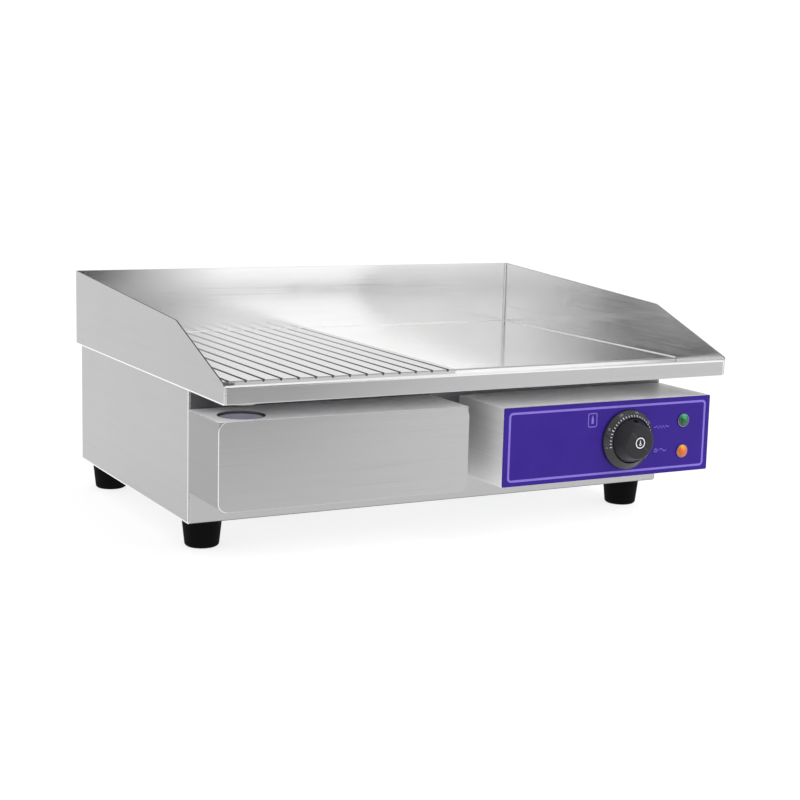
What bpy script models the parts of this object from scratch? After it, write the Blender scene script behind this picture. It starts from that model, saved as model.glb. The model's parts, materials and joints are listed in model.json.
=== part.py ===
"""A countertop electric griddle with a half-grooved plate, modelled piece by piece.

Lengths are in metres and +Z is up. The floor is z = 0 and the griddle faces -Y.
The origin lies on the floor, under the middle of the bounding box.
"""

import math

import bmesh
import bpy
from mathutils import Vector

# ---------------------------------------------------------------- driving dimensions

TRAY_WIDTH = 0.550
TRAY_DEPTH = 0.430
FRONT = -0.220                      # front face of the gutter's lip
REAR = FRONT + TRAY_DEPTH
RIGHT = TRAY_WIDTH / 2
LEFT = -RIGHT

GAP = 0.0003                        # clearance between neighbouring pieces
SHEET = 0.0012                      # housing sheet
GUARD_SHEET = 0.0015                # splash guard and gutter sheet

FOOT_HEIGHT = 0.029
TRAY_BOTTOM = 0.1577                # lower edge of the guards and of the gutter
LIP_TOP = 0.174
GUARD_TOP = 0.238
KINK_BACK = 0.119                   # the side guards' kink, measured from the lip
KINK_TOP = 0.219
GUARD_NOSE_TOP = 0.1763

PLATE_THICKNESS = 0.008
PLATE_BOTTOM = 0.1579
PLATE_TOP = PLATE_BOTTOM + PLATE_THICKNESS
PLATE_FRONT = FRONT + 0.0794
GROOVE_PITCH = 0.0179
GROOVE_COUNT = 15
GROOVE_WIDTH = 0.0036
GROOVE_DEPTH = 0.0020

HOUSING_INSET = 0.0058
HOUSING_LEFT = LEFT + HOUSING_INSET
HOUSING_RIGHT = RIGHT - HOUSING_INSET
HOUSING_FRONT = FRONT + 0.1005
HOUSING_REAR = REAR - GAP
HOUSING_TOP = 0.1574
INNER_LEFT = HOUSING_LEFT + SHEET
INNER_RIGHT = HOUSING_RIGHT - SHEET
INNER_FRONT = HOUSING_FRONT + SHEET
INNER_REAR = HOUSING_REAR - SHEET
BASE_TOP = FOOT_HEIGHT + SHEET

DRAWER_WIDTH = 0.2571
DRAWER_LEFT = HOUSING_LEFT
DRAWER_RIGHT = DRAWER_LEFT + DRAWER_WIDTH
DRAWER_FACE = FRONT + 0.0252
DRAWER_FACE_THICKNESS = 0.0015
DRAWER_FACE_BOTTOM = 0.0555
DRAWER_FACE_RADIUS = 0.009
DRAWER_BOTTOM = 0.0593
DRAWER_TOP = 0.1379
DRIP_X = LEFT + 0.040
DRIP_HOLE_Y = FRONT + 0.056
DRIP_HOLE_RADIUS = 0.0225
DRAIN_Y = FRONT + 0.054
DRAIN_RADIUS = 0.013
SPOUT_BOTTOM = 0.1495

GREASE_TRAY_LEFT = LEFT + 0.018
GREASE_TRAY_RIGHT = LEFT + 0.251
GREASE_TRAY_REAR = FRONT + 0.330
GREASE_TRAY_BOTTOM = 0.0637
GREASE_TRAY_TOP = 0.126
GREASE_TRAY_SHEET = 0.001
RUNNER_LEDGE = 0.015

CONTROL_LEFT = LEFT + 0.2947
CONTROL_RIGHT = HOUSING_RIGHT
CONTROL_BOTTOM = 0.0578
CONTROL_TOP = 0.1359
PANEL_FACE = FRONT + 0.0142
PANEL_THICKNESS = 0.0008
CONTROL_FACE = PANEL_FACE + PANEL_THICKNESS + GAP
KNOB_X = LEFT + 0.4415
KNOB_Z = 0.0960
DIAL_RADIUS = 0.0305
DIAL_SEAT = 0.0013                    # floor of the dial's recess, from the panel's face
DIAL_CREST = 0.0082                   # inner edge of the dial's sloping face, from the panel's face
KNOB_GRIP_RADIUS = 0.0225
KNOB_HEIGHT = 0.0227                # from the panel's face to the knob's front
KNOB_CAP_RADIUS = 0.0063
SHAFT_RADIUS = 0.003
LAMP_X = LEFT + 0.5108
HEATING_LAMP_Z = 0.1113
POWER_LAMP_Z = 0.0793
LAMP_BEZEL_RADIUS = 0.0068

FOOT_INSET_X = 0.0304
FOOT_FRONT_Y = FRONT + 0.1283
FOOT_REAR_Y = FRONT + 0.4047
FOOT_TOP_RADIUS = 0.0195
FOOT_BOTTOM_RADIUS = 0.0162

ELEMENT_RADIUS = 0.004
ELEMENT_Z = PLATE_BOTTOM - GAP - ELEMENT_RADIUS
ELEMENT_PITCH = 0.040
ELEMENT_FRONT = FRONT + 0.114
ELEMENT_REAR = FRONT + 0.415
CLAMP_THICKNESS = 0.003
CLAMP_TOP = ELEMENT_Z - ELEMENT_RADIUS - GAP
CLAMP_WIDTH = 0.020
STUD_RADIUS = 0.003
BLANKET_TOP = 0.1450
SHIELD_TOP = 0.1352
BLANKET_FRONT = FRONT + 0.112

GLAND_X = RIGHT - 0.060
GLAND_Z = 0.062
GLAND_END = 0.2285                  # rear face of the gland's nose
GLAND_HOLE_RADIUS = 0.0083

FASTENER_STEPS = 10
ROUND_STEPS = 24
KNOB_STEPS = 32


# ---------------------------------------------------------------- scene and materials

def clear_scene():
    """Remove whatever the file held before."""
    for obj in list(bpy.data.objects):
        bpy.data.objects.remove(obj, do_unlink=True)


def make_collection(name):
    """A collection linked to the scene."""
    collection = bpy.data.collections.new(name)
    bpy.context.scene.collection.children.link(collection)
    return collection


def make_material(name, colour, roughness, metallic):
    """A Principled BSDF material."""
    material = bpy.data.materials.new(name)
    material.use_nodes = True
    shader = material.node_tree.nodes["Principled BSDF"]
    shader.inputs["Base Color"].default_value = (*colour, 1.0)
    shader.inputs["Roughness"].default_value = roughness
    shader.inputs["Metallic"].default_value = metallic
    material.diffuse_color = (*colour, 1.0)
    return material


clear_scene()
PARTS = make_collection("electric_griddle")
CUTTERS = make_collection("cutters")

STAINLESS = ((0.62, 0.62, 0.63), 0.30, 1.0)
PLATE_STEEL = ((0.58, 0.58, 0.58), 0.35, 1.0)
ZINC = ((0.50, 0.51, 0.53), 0.40, 1.0)
COPPER = ((0.72, 0.40, 0.26), 0.35, 1.0)
ELEMENT_STEEL = ((0.16, 0.16, 0.17), 0.45, 1.0)
PANEL_PURPLE = ((0.045, 0.020, 0.280), 0.35, 0.0)
KNOB_PLASTIC = ((0.035, 0.036, 0.040), 0.40, 0.0)
CAP_PLASTIC = ((0.05, 0.05, 0.06), 0.30, 0.0)
RUBBER = ((0.012, 0.012, 0.012), 0.75, 0.0)
GREEN_LENS = ((0.0, 0.30, 0.10), 0.15, 0.0)
ORANGE_LENS = ((0.75, 0.22, 0.03), 0.15, 0.0)
BLACK_PLASTIC = ((0.02, 0.02, 0.02), 0.45, 0.0)
WHITE_CERAMIC = ((0.80, 0.78, 0.72), 0.60, 0.0)
FIBRE = ((0.85, 0.84, 0.80), 0.95, 0.0)
SILICONE_WIRE = ((0.55, 0.12, 0.10), 0.60, 0.0)


def add_object(name, data, finish, location=(0.0, 0.0, 0.0), rotation=(0.0, 0.0, 0.0)):
    """Put mesh or curve data into the part, with a material of its own."""
    obj = bpy.data.objects.new(name, data)
    obj.location = location
    obj.rotation_euler = rotation
    data.materials.append(make_material(name, *finish))
    PARTS.objects.link(obj)
    return obj


def make_cutter(name, data, location, rotation=(0.0, 0.0, 0.0)):
    """Put mesh data among the cutters."""
    obj = bpy.data.objects.new(name, data)
    obj.location = location
    obj.rotation_euler = rotation
    obj.hide_render = True
    obj.display_type = "WIRE"
    CUTTERS.objects.link(obj)
    return obj


# ---------------------------------------------------------------- shape helpers

FACING_UP = (0.0, 0.0, 0.0)
FACING_FRONT = (math.pi / 2, 0.0, 0.0)           # local Z becomes -Y, local Y becomes +Z
FACING_REAR = (-math.pi / 2, 0.0, 0.0)           # local Z becomes +Y
FACING_SIDE = (math.pi / 2, 0.0, math.pi / 2)    # local X becomes +Y, local Y becomes +Z


def arc(centre_x, centre_y, radius, start, end, steps):
    """Points along an arc, angles in degrees, both ends included."""
    points = []
    for step in range(steps + 1):
        angle = math.radians(start + (end - start) * step / steps)
        points.append((centre_x + radius * math.cos(angle), centre_y + radius * math.sin(angle)))
    return points


def circle(centre_x, centre_y, radius, steps=ROUND_STEPS):
    """A closed ring of points."""
    return arc(centre_x, centre_y, radius, 0.0, 360.0, steps)[:-1]


def slot(centre_x, centre_y, length, width, steps=3):
    """A long hole with round ends, lying along the first axis."""
    reach = (length - width) / 2
    right = arc(centre_x + reach, centre_y, width / 2, -90.0, 90.0, steps)
    left = arc(centre_x - reach, centre_y, width / 2, 90.0, 270.0, steps)
    return right + left


def rectangle(low_x, low_y, high_x, high_y):
    """The four corners of a rectangle."""
    return [(low_x, low_y), (high_x, low_y), (high_x, high_y), (low_x, high_y)]


def rounded(corners, radii, steps=5):
    """A polygon whose corners are rounded, each by its own radius."""
    points = []
    count = len(corners)
    for index in range(count):
        corner = Vector(corners[index])
        radius = radii[index]
        if radius == 0.0:
            points.append(tuple(corner))
            continue
        before = (Vector(corners[index - 1]) - corner).normalized()
        after = (Vector(corners[(index + 1) % count]) - corner).normalized()
        half_angle = before.angle(after) / 2
        reach = radius / math.tan(half_angle)
        centre = corner + (before + after).normalized() * radius / math.sin(half_angle)
        first = corner + before * reach - centre
        sweep = first.angle_signed(corner + after * reach - centre)
        for step in range(steps + 1):
            turn = -sweep * step / steps
            cosine = math.cos(turn)
            sine = math.sin(turn)
            x = centre.x + first.x * cosine - first.y * sine
            y = centre.y + first.x * sine + first.y * cosine
            points.append((x, y))
    return points


def outline_curve(name, loops, thickness):
    """A flat 2D curve; loops after the first are holes."""
    curve = bpy.data.curves.new(name, "CURVE")
    curve.dimensions = "2D"
    curve.fill_mode = "BOTH"
    curve.extrude = thickness / 2
    for loop in loops:
        spline = curve.splines.new("POLY")
        spline.points.add(len(loop) - 1)
        for point, (x, y) in zip(spline.points, loop):
            point.co = (x, y, 0.0, 1.0)
        spline.use_cyclic_u = True
    return curve


def plate(name, loops, thickness, centre, facing, finish):
    """A flat piece with holes. The centre is where the outline's own origin goes."""
    return add_object(name, outline_curve(name, loops, thickness), finish, centre, facing)


def to_mesh(obj):
    """Replace a curve object by a welded mesh object of the same name, place and material."""
    bpy.context.view_layer.update()
    graph = bpy.context.evaluated_depsgraph_get()
    mesh = bpy.data.meshes.new_from_object(obj.evaluated_get(graph), depsgraph=graph)
    body = bmesh.new()
    body.from_mesh(mesh)
    bmesh.ops.remove_doubles(body, verts=body.verts, dist=0.000001)
    bmesh.ops.recalc_face_normals(body, faces=body.faces)
    body.to_mesh(mesh)
    body.free()
    name = obj.name
    matrix = obj.matrix_world.copy()
    bpy.data.objects.remove(obj, do_unlink=True)
    solid = bpy.data.objects.new(name, mesh)
    solid.matrix_world = matrix
    PARTS.objects.link(solid)
    return solid


def box_mesh(name, size, open_side=None):
    """A cuboid about its own centre. open_side names the direction of a missing face."""
    body = bmesh.new()
    bmesh.ops.create_cube(body, size=1.0)
    bmesh.ops.scale(body, vec=size, verts=body.verts)
    if open_side is not None:
        body.normal_update()
        lid = [face for face in body.faces if face.normal.dot(open_side) > 0.9]
        bmesh.ops.delete(body, geom=lid, context="FACES_ONLY")
    mesh = bpy.data.meshes.new(name)
    body.to_mesh(mesh)
    body.free()
    return mesh


def box(name, low, high, finish, bevel=0.0):
    """A solid cuboid between two corners."""
    low = Vector(low)
    high = Vector(high)
    obj = add_object(name, box_mesh(name, high - low), finish, (low + high) / 2)
    if bevel > 0.0:
        round_edges(obj, bevel)
    return obj


def folded_box(name, low, high, open_side, thickness, finish):
    """A sheet box with one open side. The corners given are its outer ones."""
    low = Vector(low)
    high = Vector(high)
    mesh = box_mesh(name, high - low, Vector(open_side))
    obj = add_object(name, mesh, finish, (low + high) / 2)
    shell = obj.modifiers.new("sheet", "SOLIDIFY")
    shell.thickness = thickness
    shell.offset = -1.0
    shell.use_even_offset = True
    return obj


def round_edges(obj, width, segments=2, angle=40.0):
    """Bevel the sharp edges."""
    bevel = obj.modifiers.new("edges", "BEVEL")
    bevel.width = width
    bevel.segments = segments
    bevel.limit_method = "ANGLE"
    bevel.angle_limit = math.radians(angle)
    return bevel


def cylinder_mesh(name, radius, length, steps):
    """A closed cylinder along Z, standing on its own origin."""
    body = bmesh.new()
    bmesh.ops.create_cone(
        body, cap_ends=True, segments=steps, radius1=radius, radius2=radius, depth=length)
    bmesh.ops.translate(body, vec=(0.0, 0.0, length / 2), verts=body.verts)
    mesh = bpy.data.meshes.new(name)
    body.to_mesh(mesh)
    body.free()
    return mesh


def combine(obj, tool, operation):
    """Join a tool to a piece, or cut it out, exactly."""
    boolean = obj.modifiers.new(operation.lower(), "BOOLEAN")
    boolean.operation = operation
    boolean.solver = "EXACT"
    boolean.object = tool


def drill(obj, start, facing, radius, length, steps=ROUND_STEPS):
    """Cut a round hole that starts at a point and runs along the facing direction."""
    name = obj.name + "_hole"
    cutter = make_cutter(name, cylinder_mesh(name, radius, length, steps), start, facing)
    combine(obj, cutter, "DIFFERENCE")


def turned(name, profile, location, facing, finish, steps=ROUND_STEPS, closed=False):
    """A turned piece. The profile holds (radius, height) pairs, down the outer side."""
    mesh = bpy.data.meshes.new(name)
    points = [(radius, 0.0, height) for radius, height in profile]
    edges = [(index, index + 1) for index in range(len(points) - 1)]
    if closed:
        edges.append((len(points) - 1, 0))
    mesh.from_pydata(points, edges, [])
    obj = add_object(name, mesh, finish, location, facing)
    screw = obj.modifiers.new("turn", "SCREW")
    screw.steps = steps
    screw.render_steps = steps
    screw.use_merge_vertices = True
    screw.merge_threshold = 0.00001
    screw.use_smooth_shade = True
    return obj


def tube(name, points, radius, finish, sides_level=2):
    """A round bar through the points, with closed ends."""
    curve = bpy.data.curves.new(name, "CURVE")
    curve.dimensions = "3D"
    curve.bevel_depth = radius
    curve.bevel_resolution = sides_level
    curve.use_fill_caps = True
    spline = curve.splines.new("POLY")
    spline.points.add(len(points) - 1)
    for point, place in zip(spline.points, points):
        point.co = (*place, 1.0)
    return add_object(name, curve, finish)


def smooth_route(stations, steps):
    """A Catmull-Rom curve through the stations."""
    knots = [Vector(station) for station in stations]
    knots = [2 * knots[0] - knots[1]] + knots + [2 * knots[-1] - knots[-2]]
    route = []
    for index in range(1, len(knots) - 2):
        before, start, end, after = knots[index - 1:index + 3]
        for step in range(steps):
            t = step / steps
            linear = (end - before) * t
            square = (2 * before - 5 * start + 4 * end - after) * t ** 2
            cube = (3 * start - before - 3 * end + after) * t ** 3
            route.append(start + (linear + square + cube) / 2)
    route.append(knots[-2])
    return route


def attach(obj, holder):
    """Parent a piece to an empty without moving it."""
    obj.location = Vector(obj.location) - holder.location
    obj.parent = holder


def make_empty(name, location):
    """An empty that carries a moving group."""
    empty = bpy.data.objects.new(name, None)
    empty.location = location
    PARTS.objects.link(empty)
    return empty


# ---------------------------------------------------------------- cooking surface

def build_griddle_plate():
    """Thick plate, extruded front to back, with grooves along the left half."""
    left = LEFT + GUARD_SHEET + GAP
    right = RIGHT - GUARD_SHEET - GAP
    outline = [(left, PLATE_BOTTOM), (right, PLATE_BOTTOM), (right, PLATE_TOP)]
    for number in range(GROOVE_COUNT, 0, -1):
        middle = LEFT + number * GROOVE_PITCH
        outline.append((middle + GROOVE_WIDTH / 2, PLATE_TOP))
        outline.append((middle + GROOVE_WIDTH / 6, PLATE_TOP - GROOVE_DEPTH))
        outline.append((middle - GROOVE_WIDTH / 6, PLATE_TOP - GROOVE_DEPTH))
        outline.append((middle - GROOVE_WIDTH / 2, PLATE_TOP))
    outline.append((left, PLATE_TOP))
    depth = REAR - GUARD_SHEET - GAP - PLATE_FRONT
    centre = (0.0, PLATE_FRONT + depth / 2, 0.0)
    plate("griddle_plate", [outline], depth, centre, FACING_FRONT, PLATE_STEEL)


def build_side_guard(name, outer_x, inward):
    """Side splash guard. It slopes down from the rear, with a kink near the front."""
    corners = [
        (FRONT, TRAY_BOTTOM),
        (REAR, TRAY_BOTTOM),
        (REAR, GUARD_TOP),
        (FRONT + KINK_BACK, KINK_TOP),
        (FRONT, GUARD_NOSE_TOP),
    ]
    outline = rounded(corners, [0.001, 0.003, 0.001, 0.006, 0.004])
    middle = outer_x + inward * GUARD_SHEET / 2
    plate(name, [outline], GUARD_SHEET, (middle, 0.0, 0.0), FACING_SIDE, STAINLESS)


def build_rear_guard():
    """Rear splash guard, between the side guards."""
    low = (LEFT + GUARD_SHEET + GAP, REAR - GUARD_SHEET, TRAY_BOTTOM)
    high = (RIGHT - GUARD_SHEET - GAP, REAR, GUARD_TOP)
    box("splash_guard_rear", low, high, STAINLESS, bevel=0.0003)


def build_gutter():
    """Folded gutter in front of the plate: hemmed lip and floor, with the drain hole."""
    hem = 0.005
    back = PLATE_FRONT - GAP
    profile = rounded(
        [
            (FRONT, TRAY_BOTTOM),
            (back, TRAY_BOTTOM),
            (back, TRAY_BOTTOM + GUARD_SHEET),
            (FRONT + GUARD_SHEET, TRAY_BOTTOM + GUARD_SHEET),
            (FRONT + GUARD_SHEET, LIP_TOP - GUARD_SHEET),
            (FRONT + hem, LIP_TOP - GUARD_SHEET),
            (FRONT + hem, LIP_TOP),
            (FRONT, LIP_TOP),
        ],
        [0.0011, 0.0, 0.0, 0.0, 0.0, 0.0, 0.0, 0.0012],
        steps=3)
    width = TRAY_WIDTH - 2 * (GUARD_SHEET + GAP)
    gutter = to_mesh(plate("grease_gutter", [profile], width, (0.0, 0.0, 0.0), FACING_SIDE, STAINLESS))
    drill(gutter, (DRIP_X, DRAIN_Y, TRAY_BOTTOM - 0.005), FACING_UP, DRAIN_RADIUS, 0.010)


def build_drain_spout():
    """Short collar under the drain hole, above the hole in the drawer."""
    top = TRAY_BOTTOM - GAP
    profile = [
        (DRAIN_RADIUS + 0.004, top),
        (DRAIN_RADIUS + 0.004, top - 0.001),
        (DRAIN_RADIUS + 0.001, top - 0.002),
        (DRAIN_RADIUS + 0.001, SPOUT_BOTTOM),
        (DRAIN_RADIUS, SPOUT_BOTTOM),
        (DRAIN_RADIUS, top),
    ]
    turned("drain_spout", profile, (DRIP_X, DRAIN_Y, 0.0), FACING_UP, STAINLESS, closed=True)


# ---------------------------------------------------------------- housing

def build_housing_side(name, outer_x, inward):
    """Flat side sheet of the housing."""
    inner_x = outer_x + inward * SHEET
    low = (min(outer_x, inner_x), HOUSING_FRONT, FOOT_HEIGHT)
    high = (max(outer_x, inner_x), HOUSING_REAR, HOUSING_TOP)
    box(name, low, high, STAINLESS, bevel=0.0004)


def build_housing_front():
    """Front sheet with a window for the grease tray and one for the wiring."""
    outer = rectangle(INNER_LEFT + GAP, FOOT_HEIGHT, INNER_RIGHT - GAP, HOUSING_TOP)
    tray_window = rectangle(
        GREASE_TRAY_LEFT - 0.002, DRAWER_BOTTOM + 0.003, GREASE_TRAY_RIGHT + 0.002, GREASE_TRAY_TOP + 0.004)
    wiring_window = rounded(rectangle(LEFT + 0.330, 0.075, LEFT + 0.500, 0.120), [0.004] * 4)
    middle = HOUSING_FRONT + SHEET / 2
    loops = [outer, tray_window, wiring_window]
    plate("housing_front", loops, SHEET, (0.0, middle, 0.0), FACING_FRONT, STAINLESS)


REAR_SCREW_X = 0.225
REAR_SCREW_Z = 0.150


def build_housing_rear():
    """Rear sheet with two rows of vents, the gland's hole and two screw holes."""
    loops = [rectangle(INNER_LEFT + GAP, FOOT_HEIGHT, INNER_RIGHT - GAP, HOUSING_TOP)]
    for row in range(2):
        for column in range(5):
            x = -0.160 + column * 0.060
            loops.append(slot(x, 0.100 + row * 0.014, 0.042, 0.005))
    loops.append(circle(GLAND_X, GLAND_Z, GLAND_HOLE_RADIUS))
    for side in (-1, 1):
        loops.append(circle(side * REAR_SCREW_X, REAR_SCREW_Z, 0.0022, FASTENER_STEPS))
    middle = HOUSING_REAR - SHEET / 2
    plate("housing_rear", loops, SHEET, (0.0, middle, 0.0), FACING_FRONT, STAINLESS)


def build_rear_screws():
    """Pan-head screws that hold the rear sheet."""
    profile = [
        (0.0, 0.0022),
        (0.0022, 0.0019),
        (0.0034, 0.0010),
        (0.0036, GAP),
        (0.0019, GAP),
        (0.0019, -0.008),
        (0.0, -0.008),
    ]
    for name, side in (("rear_screw_left", -1), ("rear_screw_right", 1)):
        place = (side * REAR_SCREW_X, HOUSING_REAR, REAR_SCREW_Z)
        turned(name, profile, place, FACING_REAR, ZINC, FASTENER_STEPS)


def foot_places():
    """Names and centres of the four feet."""
    right = RIGHT - FOOT_INSET_X
    return [
        ("front_left", -right, FOOT_FRONT_Y),
        ("front_right", right, FOOT_FRONT_Y),
        ("rear_left", -right, FOOT_REAR_Y),
        ("rear_right", right, FOOT_REAR_Y),
    ]


def build_base_plate():
    """Bottom sheet with vents and the holes for the foot screws."""
    loops = [rectangle(INNER_LEFT + GAP, INNER_FRONT + GAP, INNER_RIGHT - GAP, INNER_REAR - GAP)]
    for row in range(6):
        for side in (-1, 1):
            loops.append(slot(side * 0.115, -0.020 + row * 0.022, 0.080, 0.005))
    for _, x, y in foot_places():
        loops.append(circle(x, y, 0.0028, FASTENER_STEPS))
    plate("base_plate", loops, SHEET, (0.0, 0.0, FOOT_HEIGHT + SHEET / 2), FACING_UP, ZINC)


def build_feet():
    """Tapered rubber feet, each with a deep recess for its screw."""
    top = FOOT_HEIGHT - GAP
    toe = 0.0045
    seat = 0.014
    profile = [(FOOT_TOP_RADIUS, top)]
    profile += arc(FOOT_BOTTOM_RADIUS - toe, toe, toe, 0.0, -90.0, 3)
    profile += [(0.007, 0.0), (0.007, seat), (0.0029, seat), (0.0029, top)]
    screw = [
        (0.0, FOOT_HEIGHT + 0.006),
        (0.0024, FOOT_HEIGHT + 0.006),
        (0.0024, seat - GAP),
        (0.0058, seat - GAP),
        (0.0058, seat - 0.003),
        (0.0050, seat - 0.004),
        (0.0, seat - 0.004),
    ]
    for place, x, y in foot_places():
        turned("foot_" + place, profile, (x, y, 0.0), FACING_UP, RUBBER, closed=True)
        turned("foot_screw_" + place, screw, (x, y, 0.0), FACING_UP, ZINC, FASTENER_STEPS)


def build_plate_support(name, wall_x, inward):
    """Angle on the housing side that carries the griddle plate."""
    top = PLATE_BOTTOM - GAP
    near = wall_x + inward * GAP
    web = near + inward * GUARD_SHEET
    flange = near + inward * 0.020
    outline = [
        (near, top - 0.018),
        (web, top - 0.018),
        (web, top - GUARD_SHEET),
        (flange, top - GUARD_SHEET),
        (flange, top),
        (near, top),
    ]
    length = 0.300
    centre = (0.0, HOUSING_FRONT + 0.015 + length / 2, 0.0)
    plate(name, [outline], length, centre, FACING_FRONT, ZINC)


# ---------------------------------------------------------------- heating

ELEMENT_LEFTS = {
    "heating_element_left": LEFT + 0.045,
    "heating_element_centre": LEFT + 0.215,
    "heating_element_right": LEFT + 0.385,
}
STUD_PLACES = {
    "clamp_stud_front_left": (LEFT + 0.190, FRONT + 0.180),
    "clamp_stud_front_right": (LEFT + 0.350, FRONT + 0.180),
    "clamp_stud_rear_left": (LEFT + 0.190, FRONT + 0.350),
    "clamp_stud_rear_right": (LEFT + 0.350, FRONT + 0.350),
}


def build_heating_elements():
    """Three tubular elements, each bent into four legs under the plate."""
    turn_radius = ELEMENT_PITCH / 2
    rear_turn = ELEMENT_REAR - turn_radius - ELEMENT_RADIUS
    front_turn = ELEMENT_FRONT + 0.030 + turn_radius
    for name, first_leg in ELEMENT_LEFTS.items():
        route = [(first_leg, ELEMENT_FRONT)]
        route += arc(first_leg + turn_radius, rear_turn, turn_radius, 180.0, 0.0, 8)
        route += arc(first_leg + 3 * turn_radius, front_turn, turn_radius, 180.0, 360.0, 8)
        route += arc(first_leg + 5 * turn_radius, rear_turn, turn_radius, 180.0, 0.0, 8)
        route.append((first_leg + 6 * turn_radius, ELEMENT_FRONT))
        points = [(x, y, ELEMENT_Z) for x, y in route]
        tube(name, points, ELEMENT_RADIUS, ELEMENT_STEEL)


def build_element_clamps():
    """Two bars that press the elements against the plate, with a hole at each stud."""
    for name, row in (("element_clamp_front", "front"), ("element_clamp_rear", "rear")):
        holes = [place for stud, place in STUD_PLACES.items() if "_" + row + "_" in stud]
        y = holes[0][1]
        loops = [rectangle(LEFT + 0.035, y - CLAMP_WIDTH / 2, RIGHT - 0.035, y + CLAMP_WIDTH / 2)]
        for x, _ in holes:
            loops.append(circle(x, y, STUD_RADIUS + GAP, FASTENER_STEPS))
        middle = CLAMP_TOP - CLAMP_THICKNESS / 2
        plate(name, loops, CLAMP_THICKNESS, (0.0, 0.0, middle), FACING_UP, ZINC)


def build_clamp_studs():
    """Studs under the plate, each with the nut that tightens the clamp bar."""
    top = PLATE_BOTTOM - GAP
    nut_top = CLAMP_TOP - CLAMP_THICKNESS - GAP
    bottom = 0.130
    for name, (x, y) in STUD_PLACES.items():
        stud = add_object(
            name, cylinder_mesh(name, STUD_RADIUS, top - bottom, FASTENER_STEPS), ZINC, (x, y, bottom))
        nut_name = name + "_nut"
        nut_mesh = cylinder_mesh(nut_name, 0.0052, 0.005, 6)
        nut = make_cutter(nut_name, nut_mesh, (x, y, nut_top - 0.005))
        combine(stud, nut, "UNION")


def heat_barrier(name, thickness, top, hole_radius, finish):
    """A flat layer below the elements, with a hole at each stud."""
    side = 0.012
    loops = [rectangle(INNER_LEFT + side, BLANKET_FRONT, INNER_RIGHT - side, INNER_REAR - 0.004)]
    for x, y in STUD_PLACES.values():
        loops.append(circle(x, y, hole_radius, FASTENER_STEPS))
    plate(name, loops, thickness, (0.0, 0.0, top - thickness / 2), FACING_UP, finish)


def build_heat_barriers():
    """Ceramic blanket and the sheet that carries it."""
    blanket_thickness = BLANKET_TOP - SHIELD_TOP - GAP
    heat_barrier("insulation_blanket", blanket_thickness, BLANKET_TOP, 0.0070, FIBRE)
    heat_barrier("heat_shield", SHEET, SHIELD_TOP, STUD_RADIUS + GAP, ZINC)


# ---------------------------------------------------------------- grease drawer

def build_drawer():
    """Drawer: front plate, folded box with the drip hole, and the tray behind it."""
    holder = make_empty("drawer_slide", ((DRAWER_LEFT + DRAWER_RIGHT) / 2, DRAWER_FACE, DRAWER_BOTTOM))
    corners = rectangle(DRAWER_LEFT, DRAWER_FACE_BOTTOM, DRAWER_RIGHT, DRAWER_TOP)
    outline = rounded(corners, [DRAWER_FACE_RADIUS] * 4, steps=6)
    middle = DRAWER_FACE + DRAWER_FACE_THICKNESS / 2
    face = plate(
        "drawer_front", [outline], DRAWER_FACE_THICKNESS, (0.0, middle, 0.0), FACING_FRONT, STAINLESS)
    box_front = DRAWER_FACE + DRAWER_FACE_THICKNESS + GAP
    shell = folded_box(
        "drawer_box",
        (DRAWER_LEFT, box_front, DRAWER_BOTTOM),
        (DRAWER_RIGHT, HOUSING_FRONT - GAP, DRAWER_TOP),
        (0.0, 1.0, 0.0), SHEET, STAINLESS)
    drill(shell, (DRIP_X, DRIP_HOLE_Y, DRAWER_TOP - 0.005), FACING_UP, DRIP_HOLE_RADIUS, 0.010, KNOB_STEPS)
    tray = folded_box(
        "grease_tray",
        (GREASE_TRAY_LEFT, box_front + SHEET + GAP, GREASE_TRAY_BOTTOM),
        (GREASE_TRAY_RIGHT, GREASE_TRAY_REAR, GREASE_TRAY_TOP),
        (0.0, 0.0, 1.0), GREASE_TRAY_SHEET, STAINLESS)
    for obj in (face, shell, tray):
        attach(obj, holder)


def build_drawer_runner(name, tray_side, outward):
    """Channel standing on the base plate. Its top ledge carries the tray's edge."""
    floor = BASE_TOP + GAP
    top = GREASE_TRAY_BOTTOM - GAP
    web = tray_side + outward * 0.005
    inner = web - outward * SHEET
    toe = web - outward * RUNNER_LEDGE
    outline = [
        (web, floor),
        (toe, floor),
        (toe, floor + SHEET),
        (inner, floor + SHEET),
        (inner, top - SHEET),
        (toe, top - SHEET),
        (toe, top),
        (web, top),
    ]
    length = 0.235
    centre = (0.0, INNER_FRONT + 0.002 + length / 2, 0.0)
    plate(name, [outline], length, centre, FACING_FRONT, ZINC)


# ---------------------------------------------------------------- controls

PANEL_HOLE_RADIUS = 0.0053
THERMOSTAT_SCREW_REACH = 0.014
LAMPS = (("heating_lamp", HEATING_LAMP_Z, GREEN_LENS), ("power_lamp", POWER_LAMP_Z, ORANGE_LENS))


def panel_holes():
    """Centre and radius of each hole through the panel and the control box."""
    holes = [(KNOB_X, KNOB_Z, PANEL_HOLE_RADIUS)]
    for side in (-1, 1):
        holes.append((KNOB_X + side * THERMOSTAT_SCREW_REACH, KNOB_Z, 0.0022))
    for _, z, _ in LAMPS:
        holes.append((LAMP_X, z, PANEL_HOLE_RADIUS))
    return holes


def build_control_box():
    """Folded box in front of the housing, open towards it."""
    shell = folded_box(
        "control_box",
        (CONTROL_LEFT, CONTROL_FACE, CONTROL_BOTTOM),
        (CONTROL_RIGHT, HOUSING_FRONT - GAP, CONTROL_TOP),
        (0.0, 1.0, 0.0), SHEET, STAINLESS)
    for x, z, radius in panel_holes():
        drill(shell, (x, CONTROL_FACE + 0.005, z), FACING_FRONT, radius, 0.010, 16)


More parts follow.
